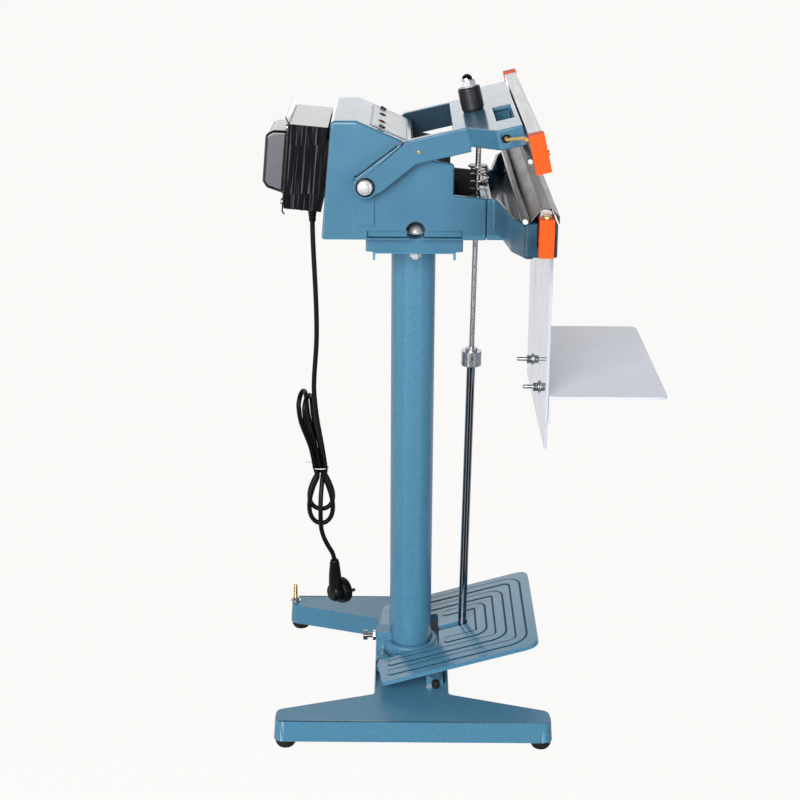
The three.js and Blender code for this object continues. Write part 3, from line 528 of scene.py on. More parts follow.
def softened(profile, radius=0.6):
    """The same turned profile with each outer corner cut to a small round."""
    points = [Vector(p) for p in profile]
    result = [points[0]]
    for before, corner, after in zip(points, points[1:], points[2:]):
        back = before - corner
        ahead = after - corner
        trim = min(radius, back.length * 0.45, ahead.length * 0.45)
        start = corner + back.normalized() * trim
        end = corner + ahead.normalized() * trim
        middle = (start + end) * 0.25 + corner * 0.5
        result += [start, middle, end]
    result.append(points[-1])
    return [tuple(p) for p in result]


def prism(bm, outline, low, high, matrix):
    """An outline of (x, y) points in mm, run from low to high along Z, then placed by matrix."""
    bottom = [bm.verts.new(matrix @ (Vector((x, y, low)) * MM)) for x, y in outline]
    top = [bm.verts.new(matrix @ (Vector((x, y, high)) * MM)) for x, y in outline]
    bm.faces.new(bottom[::-1])
    bm.faces.new(top)
    for i in range(len(outline)):
        j = (i + 1) % len(outline)
        bm.faces.new([bottom[i], bottom[j], top[j], top[i]])


def block(bm, low, high, matrix=Matrix.Identity(4)):
    """A box between two corners in mm."""
    outline = [(low[0], low[1]), (high[0], low[1]), (high[0], high[1]), (low[0], high[1])]
    prism(bm, outline, low[2], high[2], matrix)


def hexagon(radius, turn=0.0):
    angles = [i * math.pi / 3 + turn for i in range(6)]
    return [(radius * math.cos(angle), radius * math.sin(angle)) for angle in angles]


def catmull(points, per_span=10):
    """A smooth line through the points."""
    points = [Vector(p) for p in points]
    padded = [points[0] * 2 - points[1], *points, points[-1] * 2 - points[-2]]
    line = []
    for a, b, c, d in zip(padded, padded[1:], padded[2:], padded[3:]):
        for i in range(per_span):
            t = i / per_span
            line.append(0.5 * (2 * b + (c - a) * t + (2 * a - 5 * b + 4 * c - d) * t * t
                               + (3 * b - a - 3 * c + d) * t * t * t))
    line.append(points[-1])
    return line


def wire(name, line, diameter_mm, material, body, nodes=()):
    """A round wire along a line of points in metres, as a curve of one open spline."""
    curve = bpy.data.curves.new(name, "CURVE")
    curve.dimensions = "3D"
    curve.bevel_depth = diameter_mm / 2 * MM
    curve.bevel_resolution = 4
    curve.use_fill_caps = True
    spline = curve.splines.new("POLY")
    spline.points.add(len(line) - 1)
    for point, spot in zip(spline.points, line):
        point.co = (*spot, 1)
    spline.use_smooth = True
    curve.materials.append(material)
    piece = bpy.data.objects.new(name, curve)
    bpy.context.scene.collection.objects.link(piece)
    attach(piece, body)
    if nodes:
        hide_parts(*nodes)
    return piece


# ---- mains cord, first because its room is fixed ---------------------------------------------
CORD_X = -30.0
CORD_EXIT = (CORD_X, 128.5, 680)
CORD_DIAMETER = 6.4
HANK_Y = 121.0
TIE_Z = 341.0
FOLD_RADIUS = 17.0
FOLD_TURN = math.radians(14)
STRAND_PITCH = 6.8
LOOP_WIDTH = 22.0


def cord_route():
    """Down from the head, through two loops above and two below the tie, and on to the plug."""
    near = CORD_X - 3.4
    far = CORD_X + 3.0
    tie = {
        "drop": (near, HANK_Y - STRAND_PITCH + 0.5, TIE_Z),
        "up_one": (near, HANK_Y + STRAND_PITCH + 0.5, TIE_Z),
        "down_one": (far, HANK_Y + 3.9, TIE_Z),
        "up_two": (near, HANK_Y + 0.5, TIE_Z),
        "down_two": (far, HANK_Y - 2.9, TIE_Z),
    }

    def fold(start, end, fold_y, top):
        """Up from the tie, over in a round turn nearly across the view, and down to the tie."""
        centre_z = top - FOLD_RADIUS
        reach_x = FOLD_RADIUS * math.cos(FOLD_TURN)
        reach_y = FOLD_RADIUS * math.sin(FOLD_TURN)

        def leg(tied, sign, share):
            ease = share * share * (3 - 2 * share)
            return (
                tied[0] + (CORD_X + sign * reach_x - tied[0]) * ease,
                tied[1] + (fold_y - sign * reach_y - tied[1]) * ease,
                TIE_Z + (centre_z - TIE_Z) * share,
            )

        points = [leg(start, -1, 0.35), leg(start, -1, 0.75)]
        for i in range(7):
            angle = math.pi * (1 - i / 6)
            points.append((
                CORD_X + reach_x * math.cos(angle),
                fold_y - reach_y * math.cos(angle),
                centre_z + FOLD_RADIUS * math.sin(angle),
            ))
        return points + [leg(end, 1, 0.75), leg(end, 1, 0.35)]

    def loop(x, bottom, first_side):
        """A drop-shaped loop in a plane across X, narrow at the tie and round at the bottom."""
        points = []
        height = TIE_Z - bottom
        for i in range(2, 15):
            angle = 2 * math.pi * i / 16
            points.append((
                x,
                HANK_Y + first_side * LOOP_WIDTH * math.sin(angle) * math.sin(angle / 2) ** 1.3,
                bottom + height * (1 + math.cos(angle)) / 2,
            ))
        return points

    down = [(CORD_X, y, z) for y, z in (
        (128.5, 680), (128.3, 660), (127.2, 630), (126, 600), (125, 570), (124.6, 540),
        (125.2, 515), (127, 490), (128.6, 468), (128.8, 446),
    )]
    route = down + [(CORD_X - 1, 125.5, 412), (CORD_X - 2.6, 119.5, 376), tie["drop"]]
    route += loop(near, 260.6, -1) + [tie["up_one"]]
    route += fold(tie["up_one"], tie["down_one"], 144.5, 449) + [tie["down_one"]]
    route += loop(far, 279, 1) + [tie["up_two"]]
    route += fold(tie["up_two"], tie["down_two"], 137, 443) + [tie["down_two"]]
    route += [(CORD_X - 0.5, 119.5, 320), (CORD_X - 7.5, 121, 300), (CORD_X - 10.4, 121.5, 278)]
    route += [(CORD_X - 10.2, 120.8, 257), (CORD_X - 9.8, 117.6, 243), (CORD_X - 9.2, 112, 230),
              (CORD_X - 8.8, 106, 219), (CORD_X - 8.8, 103.1, 208.6)]
    return [at(*p) for p in route]


def make_relief():
    profile = [(0, 0), (4.2, 0)]
    for i in range(5):
        z = 3 + i * 3.6
        r = 4.3 + i * 0.42
        profile += [(r + 0.35, z), (r + 0.35, z + 1.8), (r - 0.2, z + 2.2), (r - 0.1, z + 3.2)]
    profile += [(6.6, 21.5), (6.4, 22.5), (0, 22.5)]
    return turned("cord_relief_boot", profile, moved_to(*CORD_EXIT), CORD_RUBBER, "stand", ["cord_relief"],
                  32)


def make_tie():
    line = []
    for i in range(25):
        angle = 2 * math.pi * i / 24
        line.append(at(CORD_X - 0.4 + 7.4 * math.cos(angle), HANK_Y + 0.6 + 10.6 * math.sin(angle), TIE_Z))
    line += [at(CORD_X + 7.4, HANK_Y + 8, TIE_Z + 2.4), at(CORD_X + 7, HANK_Y + 16, TIE_Z + 4.4),
             at(CORD_X + 6.4, HANK_Y + 21, TIE_Z + 4.8)]
    return wire("cord_tie", line, 1.5, WHITE_NYLON, "stand")


def make_plug():
    """A round plug head, its low dome behind, a ribbed neck along the cord and two pins."""
    upright = moved_to(CORD_X - 5.5, 95.5, 160.3) @ tilted(-52, "Z")
    across = upright @ tilted(90, "Y")
    plug = bmesh.new()
    lathe(plug, softened([(0, -4), (16.6, -4), (18.2, 0), (18.3, 5.5), (16.8, 9), (0, 9)], 1.4), across)
    lathe(plug, softened([(0, -16), (10, -16), (13, -12.5), (13.4, -3.5), (0, -3.5)], 1.6), across)
    neck = [(0, 2), (9.2, 2), (9, 14), (8.6, 22)]
    for i in range(5):
        z = 24 + i * 4.4
        r = 8.4 - i * 0.45
        neck += [(r + 0.2, z), (r + 0.2, z + 2.4), (r - 0.5, z + 2.8), (r - 0.5, z + 4.0)]
    neck += [(5.4, 48), (4.0, 49), (0, 49)]
    lathe(plug, neck, upright @ shifted(-8, 0, 0) @ tilted(-2.5), 32)
    for i in range(12):
        block(plug, (17.4, -1.2, -2), (18.5, 1.2, 6), across @ tilted(60 + i * 20, "Z"))
    plug_piece = place("mains_plug_body", plug, CORD_RUBBER, "stand", ["mains_plug"])
    pins = bmesh.new()
    pin = softened([(0, 8), (2.4, 8), (2.4, 17), (1.6, 18), (0, 18)])
    for y in (-9.5, 9.5):
        lathe(pins, pin, upright @ shifted(0, y, 0) @ tilted(90, "Y"), 20)
    return [plug_piece, place("mains_plug_pins", pins, ROD_STEEL, "stand")]


def make_cord():
    cord = wire("mains_cord", catmull(cord_route(), 8), CORD_DIAMETER, CORD_RUBBER, "stand",
                ["cord_drop", "cord_hank", "cord_tail"])
    make_relief()
    make_tie()
    make_plug()


make_cord()


# ---- stand: base, column, feet ---------------------------------------------------------------
BASE_DRAFT = 2.2         # how far the skirt flares
SKIRT_RIM = 15.8
LEG_TOP = 43.0
TIP_X = 187.0
TIP_RADIUS = 9.0
RIM_RADIUS = 2.6


def wall_normals(vert):
    """The different directions that the upright faces round a vertex look."""
    walls = []
    for face in vert.link_faces:
        if abs(face.normal.z) < 0.05 and all((face.normal - wall).length > 0.1 for wall in walls):
            walls.append(face.normal.copy())
    return walls


def flare_skirt(bm):
    moves = {}
    for vert in bm.verts:
        if vert.co.z > SKIRT_RIM * MM:
            continue
        walls = wall_normals(vert)
        if len(walls) == 1:
            moves[vert] = walls[0] * BASE_DRAFT * MM
        elif len(walls) == 2:
            share = 1 + walls[0].dot(walls[1])
            if share > 0.2:
                moves[vert] = (walls[0] + walls[1]) / share * BASE_DRAFT * MM
    for vert, move in moves.items():
        vert.co += Vector((move.x, move.y, 0))


def drafted_base():
    """The casting with its skirt flared a little, its leg tips rounded and its upper rims softened."""
    bm = cad_copy("base_casting")
    flare_skirt(bm)
    tips = []
    for edge in bm.edges:
        a, b = edge.verts
        upright = abs(a.co.z - b.co.z) > 20 * MM
        if upright and min(abs(a.co.x), abs(b.co.x)) > TIP_X * MM:
            tips.append(edge)
    bmesh.ops.bevel(bm, geom=tips, offset=TIP_RADIUS * MM, segments=6, profile=0.5, affect="EDGES")
    rims = []
    for edge in bm.edges:
        on_top = all(abs(vert.co.z - LEG_TOP * MM) < 0.5 * MM for vert in edge.verts)
        on_leg = all(abs(vert.co.x) > 100 * MM for vert in edge.verts)
        if on_top and on_leg and edge.calc_face_angle(0) > math.radians(50):
            rims.append(edge)
    bmesh.ops.bevel(bm, geom=rims, offset=RIM_RADIUS * MM, segments=4, profile=0.5, affect="EDGES",
                    clamp_overlap=True)
    return bm


def make_base():
    place("base_casting_finished", drafted_base(), HAMMERED, "stand", ["base_casting"], 1.5, 3)
    # Painted shade: a thin dark sheet lying on the bridge under the pedal, where the pedal shades it.
    shade_patch = bmesh.new()
    covered = [(-84, -31), (-84, -46), (-78, -50.5), (106, -50.5), (112, -46), (112, -31)]
    prism(shade_patch, covered, LEG_TOP + 0.02, LEG_TOP + 0.2, moved_to(0, 0, 0))
    place("painted_shade_under_pedal", shade_patch, SHADED, "stand")
    lip = [(30.2, 62), (30.2, 71.4), (32, 73), (36.6, 73), (38.8, 71), (39.2, 62), (30.2, 62)]
    turned("socket_lip", softened(lip, 0.9), COLUMN_FRAME, HAMMERED, "stand", sides=72)
    bumper = [(0, 43.4), (4.8, 43.4), (5.4, 46), (5.4, 51.6), (4.4, 53.4), (0, 53.8)]
    turned("stop_bumper", softened(bumper, 0.8), moved_to(-95, -37, 0), RUBBER, "stand",
           sides=32)
    nut = bmesh.new()
    prism(nut, hexagon(6.4, 0.2), 0, 4.4, moved_to(-90, -30, 42) @ tilted(-90, "Y"))
    place("stop_bumper_nut", nut, ZINC, "stand", bevel=0.5)


def make_feet():
    profile = softened([(0, 0), (10.5, 0), (13.6, 5), (13.6, 14), (0, 14)], 1.5)
    for side, _ in SIDES:
        for end in ("front", "rear"):
            node = f"rubber_foot_{side}_{end}"
            low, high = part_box(node)
            middle = (low + high) / 2
            under = Matrix.Translation(Vector((middle.x, middle.y, 0)))
            turned(f"foot_{side}_{end}", profile, under, RUBBER, "stand", [node])


def make_levelling_stud():
    upright = moved_to(174, 172, 0)
    profile = [(0, 16), (3, 16), *thread(17, 1.75, 30, 3, 2.55, 0.85), (2.4, 69.4), (0, 70)]
    turned("levelling_stud_thread", profile, upright, YELLOW_ZINC, "stand", ["levelling_stud"],
           20)
    nut = bmesh.new()
    prism(nut, hexagon(5.8), 43.4, 48.6, upright)
    lathe(nut, softened([(0, 43.2), (8, 43.2), (8, 44.4), (0, 44.4)], 0.3), upright, 32)
    place("levelling_nut", nut, ZINC, "stand", bevel=0.5)


def make_column_clamp():
    along = moved_to(0, 0, 74) @ tilted(-90)
    profile = [(0, 27.4), (3.6, 27.4), *thread(28.5, 1.25, 24, 4, 3.55, 0.62), (4, 59), (0, 59)]
    turned("column_clamp_screw", profile, along, ZINC, "stand", ["column_clamp_bolt"], 24)
    ends = bmesh.new()
    prism(ends, hexagon(7.5, 0.3), 58.6, 64.8, along)
    prism(ends, hexagon(7.5, 0.1), 46.5, 51.2, along)
    place("column_clamp_hexagons", ends, ZINC, "stand", bevel=0.6)


def make_stand():
    make_base()
    tube = [(26.5, 46), (29, 46), (29, 650), (26.5, 650), (26.5, 46)]
    turned("column_tube", tube, COLUMN_FRAME, HAMMERED, "stand", ["column"], 96)
    make_feet()
    make_levelling_stud()
    make_column_clamp()
    # The top plate takes the lighter paint, painted light against the head's shadow.
    refined("column_top_plate", LIGHTENED_PLATE_PAINT, "stand", 0.8)
    refined("pedal_shaft", ZINC, "stand", 0.5)


# ---- head -----------------------------------------------------------------------------------
HEAD_SIDE = 95.6
POCKET_FLOOR = 675.0
POCKET_ROOF = 683.0
LAMP_X = 27
DIAL_X = 71
CONTROL_Y = -33
PRINT_LOW = 1.28
PRINT_HIGH = 1.36
SIDEWAYS = Matrix(((0, 0, 1, 0), (1, 0, 0, 0), (0, 1, 0, 0), (0, 0, 0, 1)))


def mark_inside(housing):
    """Gives the bare inside of the well and of the hollow head the second material."""
    rear_wall = at(0, 100, 0).y
    for face in housing.faces:
        middle = face.calc_center_median()
        inside = abs(middle.x) < 94 * MM and middle.z > 676 * MM
        walls = abs(face.normal.x) > 0.9 and middle.x * face.normal.x < 0
        floor = face.normal.z > 0.7 and middle.z < 700 * MM
        ends = abs(face.normal.y) > 0.7 and middle.z < 790 * MM and middle.y < rear_wall
        roof = face.normal.z < -0.5
        if inside and (walls or floor or ends or roof):
            face.material_index = 1


def make_housing():
    housing = cad_copy("head_housing")
    mark_inside(housing)
    outline = []
    for edge in housing.edges:
        outer = all(abs(vert.co.x) > (HEAD_SIDE - 0.1) * MM for vert in edge.verts)
        low = all(vert.co.z < 700 * MM for vert in edge.verts)
        if outer and not low and edge.calc_face_angle(0) > math.radians(60):
            outline.append(edge)
    bmesh.ops.bevel(housing, geom=outline, offset=3.6 * MM, segments=5, profile=0.5, affect="EDGES",
                    clamp_overlap=False)
    place("head_housing_finished", housing, PAINT, "stand", ["head_housing"],
          1.2, 2, [INTERIOR])


def make_head_side(side, sign):
    """The pad under one arm pivot, the walls of the recess below it and the domed bolt in the recess."""
    to_row = moved_to(0, 0, 0) @ SIDEWAYS
    pads = bmesh.new()
    facing = moved_to(sign * HEAD_SIDE, 59, 742) @ tilted(sign * 90, "Y")
    lathe(pads, softened([(0, 0), (17.5, 0), (15.6, 3.2), (0, 3.2)], 0.8), facing, 48)
    low, high = sorted((sign * HEAD_SIDE, sign * (HEAD_SIDE + 2.8)))
    prism(pads, [(48, 690), (70, 690), (70, 738), (48, 738)], low, high, to_row)
    place(f"head_boss_{side}", pads, PAINT, "stand", bevel=1.3, segments=3)

    walls = bmesh.new()
    low, high = sorted((sign * (HEAD_SIDE - 3.5), sign * (HEAD_SIDE - 6)))
    for front, rear in ((-61.5, -15), (7, 56.5)):
        outline = [(front, POCKET_FLOOR), (rear, POCKET_FLOOR), (rear, POCKET_ROOF), (front, POCKET_ROOF)]
        prism(walls, outline, low, high, to_row)
    place(f"head_pocket_wall_{side}", walls, PAINT, "stand", bevel=0.4)

    bolt = bmesh.new()
    seat = moved_to(sign * 66, -4, 0)
    dome = [(0, 674.3), (11, 674.3), (11, 675.4), (9.4, 675.8), (9.2, 678.2), (7.6, 681.4),
            (3.8, 683.8), (0, 684.4)]
    lathe(bolt, softened(dome, 0.5), seat, 40)
    lathe(bolt, [(0, 640), (3.6, 640), (4, 641), (4, 650), (0, 650)], seat, 24)
    prism(bolt, hexagon(7.5, 0.4), 643, 649.8, seat)
    place(f"head_bolt_{side}_dome", bolt, SATIN, "stand", [f"head_bolt_{side}"], 0.4)


def make_panel_marks():
    """Nine ticks round each dial and a frame line round the panel."""
    marks = bmesh.new()
    for x in (-DIAL_X, DIAL_X):
        for i in range(9):
            tick = PANEL_FRAME @ shifted(x, CONTROL_Y, 0) @ tilted(-120 + i * 30, "Z")
            block(marks, (-0.35, 7.4, PRINT_LOW), (0.35, 9.6, PRINT_HIGH), tick)
    for y in (-66.4, -19.6):
        block(marks, (-76, y - 0.3, PRINT_LOW), (76, y + 0.3, PRINT_HIGH), PANEL_FRAME)
    for x in (-76, 76):
        block(marks, (x - 0.3, -66.4, PRINT_LOW), (x + 0.3, -19.6, PRINT_HIGH), PANEL_FRAME)
    place("panel_marks", marks, INK, "stand")


def make_lamp(node, x, glass):
    seat = PANEL_FRAME @ shifted(x, CONTROL_Y, 0)
    lamp = [(0, 0.3), (3.5, 0.3), (3.5, 1.9), (2.9, 2.9), (1.5, 3.4), (0, 3.5)]
    turned(node + "_lens", softened(lamp, 0.4), seat, glass, "stand", [node], 32)
    bezel = [(3.6, 1.3), (4.8, 1.3), (4.6, 2.1), (3.6, 2.2), (3.6, 1.3)]
    turned(node + "_bezel", softened(bezel, 0.2), seat, BLACK_PLASTIC, "stand",
           sides=32)


def make_dial(side, sign):
    dial = bmesh.new()
    seat = PANEL_FRAME @ shifted(sign * DIAL_X, CONTROL_Y, 0)
    knob = [(0, -9), (2.1, -9), (2.1, 1.4), (4.1, 1.5), (4.0, 2.4), (3.7, 3.8), (0, 4.1)]
    lathe(dial, softened(knob, 0.3), seat, 36)
    for i in range(12):
        block(dial, (3.5, -0.4, 1.8), (4.1, 0.4, 3.5), seat @ tilted(i * 30, "Z"))
    block(dial, (-0.4, 0.5, 3.8), (0.4, 3.4, 4.5), seat)
    place(f"timer_dial_{side}_knob", dial, BLACK_PLASTIC, f"dial_{side}", [f"timer_dial_{side}"])


def make_head():
    make_housing()
    for side, sign in SIDES:
        make_head_side(side, sign)
    refined("control_panel", LABEL, "stand", 0.3)
    make_panel_marks()
    make_lamp("lamp_heat", -LAMP_X, RED_LENS)
    make_lamp("lamp_power", LAMP_X, GREEN_LENS)
    for side, sign in SIDES:
        make_dial(side, sign)


# ---- transformer ------------------------------------------------------------------------------
CORE_HALF = 78.9
CORE_FRONT = 1.2
CORE_REAR = 48.5
CORE_LOW = -52.9
CORE_HIGH = 53.9
SHEETS = 34


def make_core():
    """Stacked sheets whose sides and lower edges are a little uneven, round a plain filling."""
    rng = random.Random(7)
    core = bmesh.new()
    pitch = (CORE_REAR - CORE_FRONT) / SHEETS
    for i in range(SHEETS):
        front = CORE_FRONT + i * pitch
        side = CORE_HALF - rng.random() * 0.9
        low = CORE_LOW + rng.random() * 0.8
        block(core, (-side, front, low), (side, front + pitch, CORE_HIGH), CORE_FRAME)
    block(core, (-77.6, 1.3, -51.6), (77.6, 48.4, 52.6), CORE_FRAME)
    core.normal_update()
    for face in core.faces:
        if face.normal.z > 0.7:
            face.material_index = 1
    place("transformer_stack", core, LAMINATION, "stand", ["transformer_core"],
          extra=[CORE_TOP])


def make_bell():
    bell = cad_copy("transformer_bell")
    for face in bell.faces:
        if abs(face.normal.x) > 0.99 and abs(face.calc_center_median().x) > 43.5 * MM:
            face.material_index = 1
    place("transformer_end_bell", bell, BLACK_ENAMEL, "stand", ["transformer_bell"],
          4.6, 4, [GREY_ENAMEL], edge_material=0, clamp=False)


def make_transformer():
    make_core()
    refined("transformer_coil", COPPER, "stand", 1.0)
    refined("transformer_frame", BLACK_ENAMEL, "stand", 0.6)
    make_bell()
    screw = softened([(0, 0), (4.6, 0), (4.4, 1.6), (2.6, 3), (0, 3.3)], 0.4)
    for side, sign in SIDES:
        for level, v in (("low", -47), ("high", 47)):
            seat = CORE_FRAME @ shifted(sign * 62, 51, v) @ tilted(-90)
            turned(f"transformer_screw_{side}_{level}", screw, seat, ZINC, "stand",
                   sides=28)


# ---- arm and upper jaw ------------------------------------------------------------------------
CAP_X = 257.8
CAP_Y = -153


def screw_head(bm, matrix, radius, height):
    """A slotted cheese head: two half discs on a rim."""
    rim = height * 0.7
    lathe(bm, softened([(0, 0), (radius, 0), (radius * 0.96, rim), (0, rim)], 0.3), matrix, 28)
    for sign in (-1, 1):
        outline = []
        for i in range(13):
            angle = math.radians(8 + i * 164 / 12)
            outline.append((radius * 0.9 * math.cos(angle), sign * radius * 0.9 * math.sin(angle)))
        prism(bm, outline[::sign], rim, height, matrix)


def rod_tips(name, along, start, radius, body):
    """The white ends of a rod that runs along Z of the given frame."""
    tips = bmesh.new()
    for end in (-1, 1):
        inner = end * start
        outer = end * (start + 3)
        tip = [(0, inner), (radius, inner), (radius, outer), (0, outer + end * 0.2)]
        lathe(tips, softened(tip, 0.5), along, 28)
    place(name, tips, WHITE_NYLON, body)


def make_arm_frame():
    """The cast arm, with painted shade on the faces that look inward and under the web."""
    casting = cad_copy("arm_frame")
    closed_frame = ARM_FRAME.inverted()
    for face in casting.faces:
        middle = face.calc_center_median()
        sideways = abs(face.normal.x)
        looks_out = middle.x * face.normal.x > 0
        below_web = (closed_frame @ middle).z < 779 * MM
        under_web = below_web and abs(face.normal.y) > 0.5 and face.normal.y > -0.5
        # Painted shade: these faces take the darker second material.
        if (sideways > 0.5 and not looks_out) or (under_web and not (looks_out and sideways > 0.35)):
            face.material_index = 1
    place("arm_frame_finished", casting, PAINT, "arm", ["arm_frame"], 1.8, 3, [SHADED],
          clamp=False)
    grommet = softened([(0, 160), (4.8, 160), (4.8, 172.6), (0, 172.6)], 0.5)
    along = ARM_FRAME @ moved_to(0, -121, 773.5) @ tilted(-90, "Y")
    turned("jaw_wire_grommet", grommet, along, RUBBER, "arm", sides=28)


def make_pivot(side, sign):
    outward = ARM_FRAME @ moved_to(*ARM_PIVOT) @ tilted(sign * 90, "Y")
    bolt = [(0, 82), (5, 82), (5, 116), (9.5, 116), (9.6, 118.6), (8.2, 120.6), (6.2, 121.2),
            (5.4, 122.6), (0, 123)]
    turned(f"pivot_pin_{side}", softened(bolt, 0.5), outward, SATIN, "stand", [f"pivot_bolt_{side}"])
    ring = [(5.4, 97), (6.1, 97), (6.1, 114.3), (11.9, 114.4), (12, 116.4), (9.9, 117.6), (9.9, 115.7),
            (5.4, 115.7), (5.4, 97)]
    turned(f"pivot_ring_{side}", softened(ring, 0.4), outward, BLACK_PLASTIC, "arm", [f"pivot_bush_{side}"])


def make_pressure_knob():
    """Sleeve, seat and domed nut on the spindle that stands on the arm."""
    upright = ARM_FRAME @ moved_to(0, -91, 785.5)
    sleeve = [(11.6, 0.3), (13.2, 0.3), (13.4, 2.2), (14.4, 3.4), (14.6, 16), (14.4, 28.6), (13.4, 30.3),
              (5.8, 30.3), (5.8, 27.4), (11.6, 27.4), (11.6, 0.3)]
    turned("pressure_knob_sleeve", softened(sleeve, 0.5), upright, KNURLED, "arm", ["pressure_sleeve"],
           56)
    seat = bmesh.new()
    lathe(seat, softened([(0, 30.7), (11, 30.7), (11, 32.2), (0, 32.2)], 0.3), upright, 40)
    prism(seat, hexagon(9.9, 0.25), 32.3, 39.2, upright)
    place("pressure_nut_seat", seat, SATIN, "pressure_nut", bevel=0.35)
    dome = [(0, 39.1), (8.4, 39.2)]
    for i in range(8):
        angle = i * math.pi / 14
        dome.append((8.2 * math.cos(angle), 39.6 + 8.0 * math.sin(angle)))
    nut = bmesh.new()
    lathe(nut, [*dome, (0, 47.6)], upright, 40)
    place("pressure_acorn_nut", nut, CHROME, "pressure_nut", ["acorn_nut"], 0.35)
    refined("pressure_spindle", ZINC, "arm", 0.5)


def make_upper_jaw():
    refined("upper_jaw_bar", DRAWN_BAR, "arm", 0.7)
    refined("upper_seal_cloth", CLOTH, "arm", 0.3)
    refined("upper_clamp_rod", ROD_STEEL, "arm", 0.3)
    rod_tips("clamp_rod_tips", ARM_FRAME @ moved_to(0, -141, 754) @ tilted(90, "Y"), 243, 2.9, "arm")
    for side, sign in SIDES:
        refined(f"upper_cap_{side}", ORANGE, "arm", 1.0, 3)
        screws = bmesh.new()
        screw_head(screws, ARM_FRAME @ moved_to(sign * CAP_X, CAP_Y, 741.4) @ tilted(180), 4.2, 0.6)
        screw_head(screws, ARM_FRAME @ moved_to(sign * CAP_X, -162.1, 762) @ tilted(90), 3.4, 1.6)
        place(f"upper_cap_screws_{side}", screws, BRASS, "arm")
    points = [(-171, -121, 773.5), (-184, -121.5, 773.5), (-200, -127, 775.5), (-226, -136, 779),
              (-244, -140.8, 781), (-257, -141.6, 781.5)]
    line = [ARM_FRAME @ at(*point) for point in points]
    wire("jaw_wire_braid", catmull(line, 8), 4.2, SLEEVE, "arm", ["jaw_wire_sleeve"])


def make_arm():
    make_arm_frame()
    for side, sign in SIDES:
        make_pivot(side, sign)
    spot = bmesh.new()
    screw_head(spot, ARM_FRAME @ moved_to(-114, -15, 768.7) @ tilted(-90, "Y"), 2.4, 0.9)
    place("arm_side_screw", spot, BRASS, "arm")
    make_pressure_knob()
    make_upper_jaw()


# ---- lower jaw --------------------------------------------------------------------------------
def make_lower_jaw():
    place("lower_jaw_beam_finished", cad_copy("lower_jaw_beam"), PAINT, "stand", ["lower_jaw_beam"],
          2.0, 3, clamp=False)
    refined("lower_jaw_bar", DRAWN_BAR, "stand", 0.5)
    place("lower_seal_hood", cad_copy("lower_seal_cloth"), CLOTH, "stand", ["lower_seal_cloth"],
          0.25)
    low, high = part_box("guide_rod")
    middle = (low + high) / 2
    across = Matrix.Translation(Vector((0, middle.y, middle.z))) @ tilted(90, "Y")
    bar = softened([(0, -255), (4, -255), (4, 255), (0, 255)], 0.6)
    turned("guide_rod_bar", bar, across, ROD_STEEL, "stand", ["guide_rod"], 40)
    rod_tips("guide_rod_tips", across, 253, 3.0, "stand")
    for side, sign in SIDES:
        refined(f"lower_cap_{side}", ORANGE, "stand", 1.0, 3)
        top = bmesh.new()
        screw_head(top, moved_to(sign * CAP_X, CAP_Y, 737), 5.4, 3.2)
        place(f"lower_cap_screw_{side}", top, BRASS, "stand")


# ---- tray -------------------------------------------------------------------------------------
def make_tray():
    refined("backboard", SHEET, "stand", 0.5)
    refined("tray", ENAMEL, "work_tray", 0.8)
    stem = [(0, -176.4), (2.9, -176.4), *thread(-175, 1.3, 22, 3, 2.6, 0.65), (2.4, -146.4), (0, -146)]
    washer = softened([(0, -167.2), (8, -167.2), (8, -165.7), (0, -165.7)], 0.3)
    for side, sign in SIDES:
        bolt = bmesh.new()
        along = moved_to(sign * 60, 0, 468) @ tilted(-90)
        lathe(bolt, stem, along, 24)
        prism(bolt, hexagon(5.77), -180.2, -175.8, along)
        lathe(bolt, washer, along, 36)
        prism(bolt, hexagon(6.35, 0.2), -165.8, -159.6, along)
        place(f"tray_screw_{side}", bolt, ZINC, "work_tray", [f"tray_bolt_{side}"], 0.35)


# ---- pedal ------------------------------------------------------------------------------------
BAND_EDGE = 1.2
BAND_WIDTH = 13.6
BAND_LOW = 8.0
BAND_HIGH = 9.0
BAND_SHADE_WIDTH = 2.2
SHADE_STRIP_TOP = 0.3
PEDAL_FRONT = -221
PEDAL_HALF = 117


def band_line(half, front, rear, corner):
    """The middle of a U band: forward on one side, across the front and back on the other."""
    line = [(half, rear), (half, (rear + front) / 2), (half, front + corner)]
    for i in range(1, 8):
        angle = math.radians(i * 90 / 8)
        line.append((half - corner + corner * math.cos(angle), front + corner - corner * math.sin(angle)))
    line.append((half - corner, front))
    return [Vector(point) for point in line + [(-x, y) for x, y in reversed(line)]]


def band_stations(line):
    """Places along the line with their direction and half width, narrowing to a round at each end."""
    stations = []
    for i, point in enumerate(line):
        along = (line[min(i + 1, len(line) - 1)] - line[max(i - 1, 0)]).normalized()
        if 0 < i < len(line) - 1:
            stations.append((point, along, BAND_WIDTH / 2))
            continue
        outward = -along if i == 0 else along
        rounds = []
        for k in range(6):
            angle = math.radians(k * 16)
            reach = BAND_WIDTH / 2 * math.cos(angle)
            rounds.append((point + outward * BAND_WIDTH / 2 * math.sin(angle), along, reach))
        stations += rounds[::-1] if i == 0 else rounds
    return stations


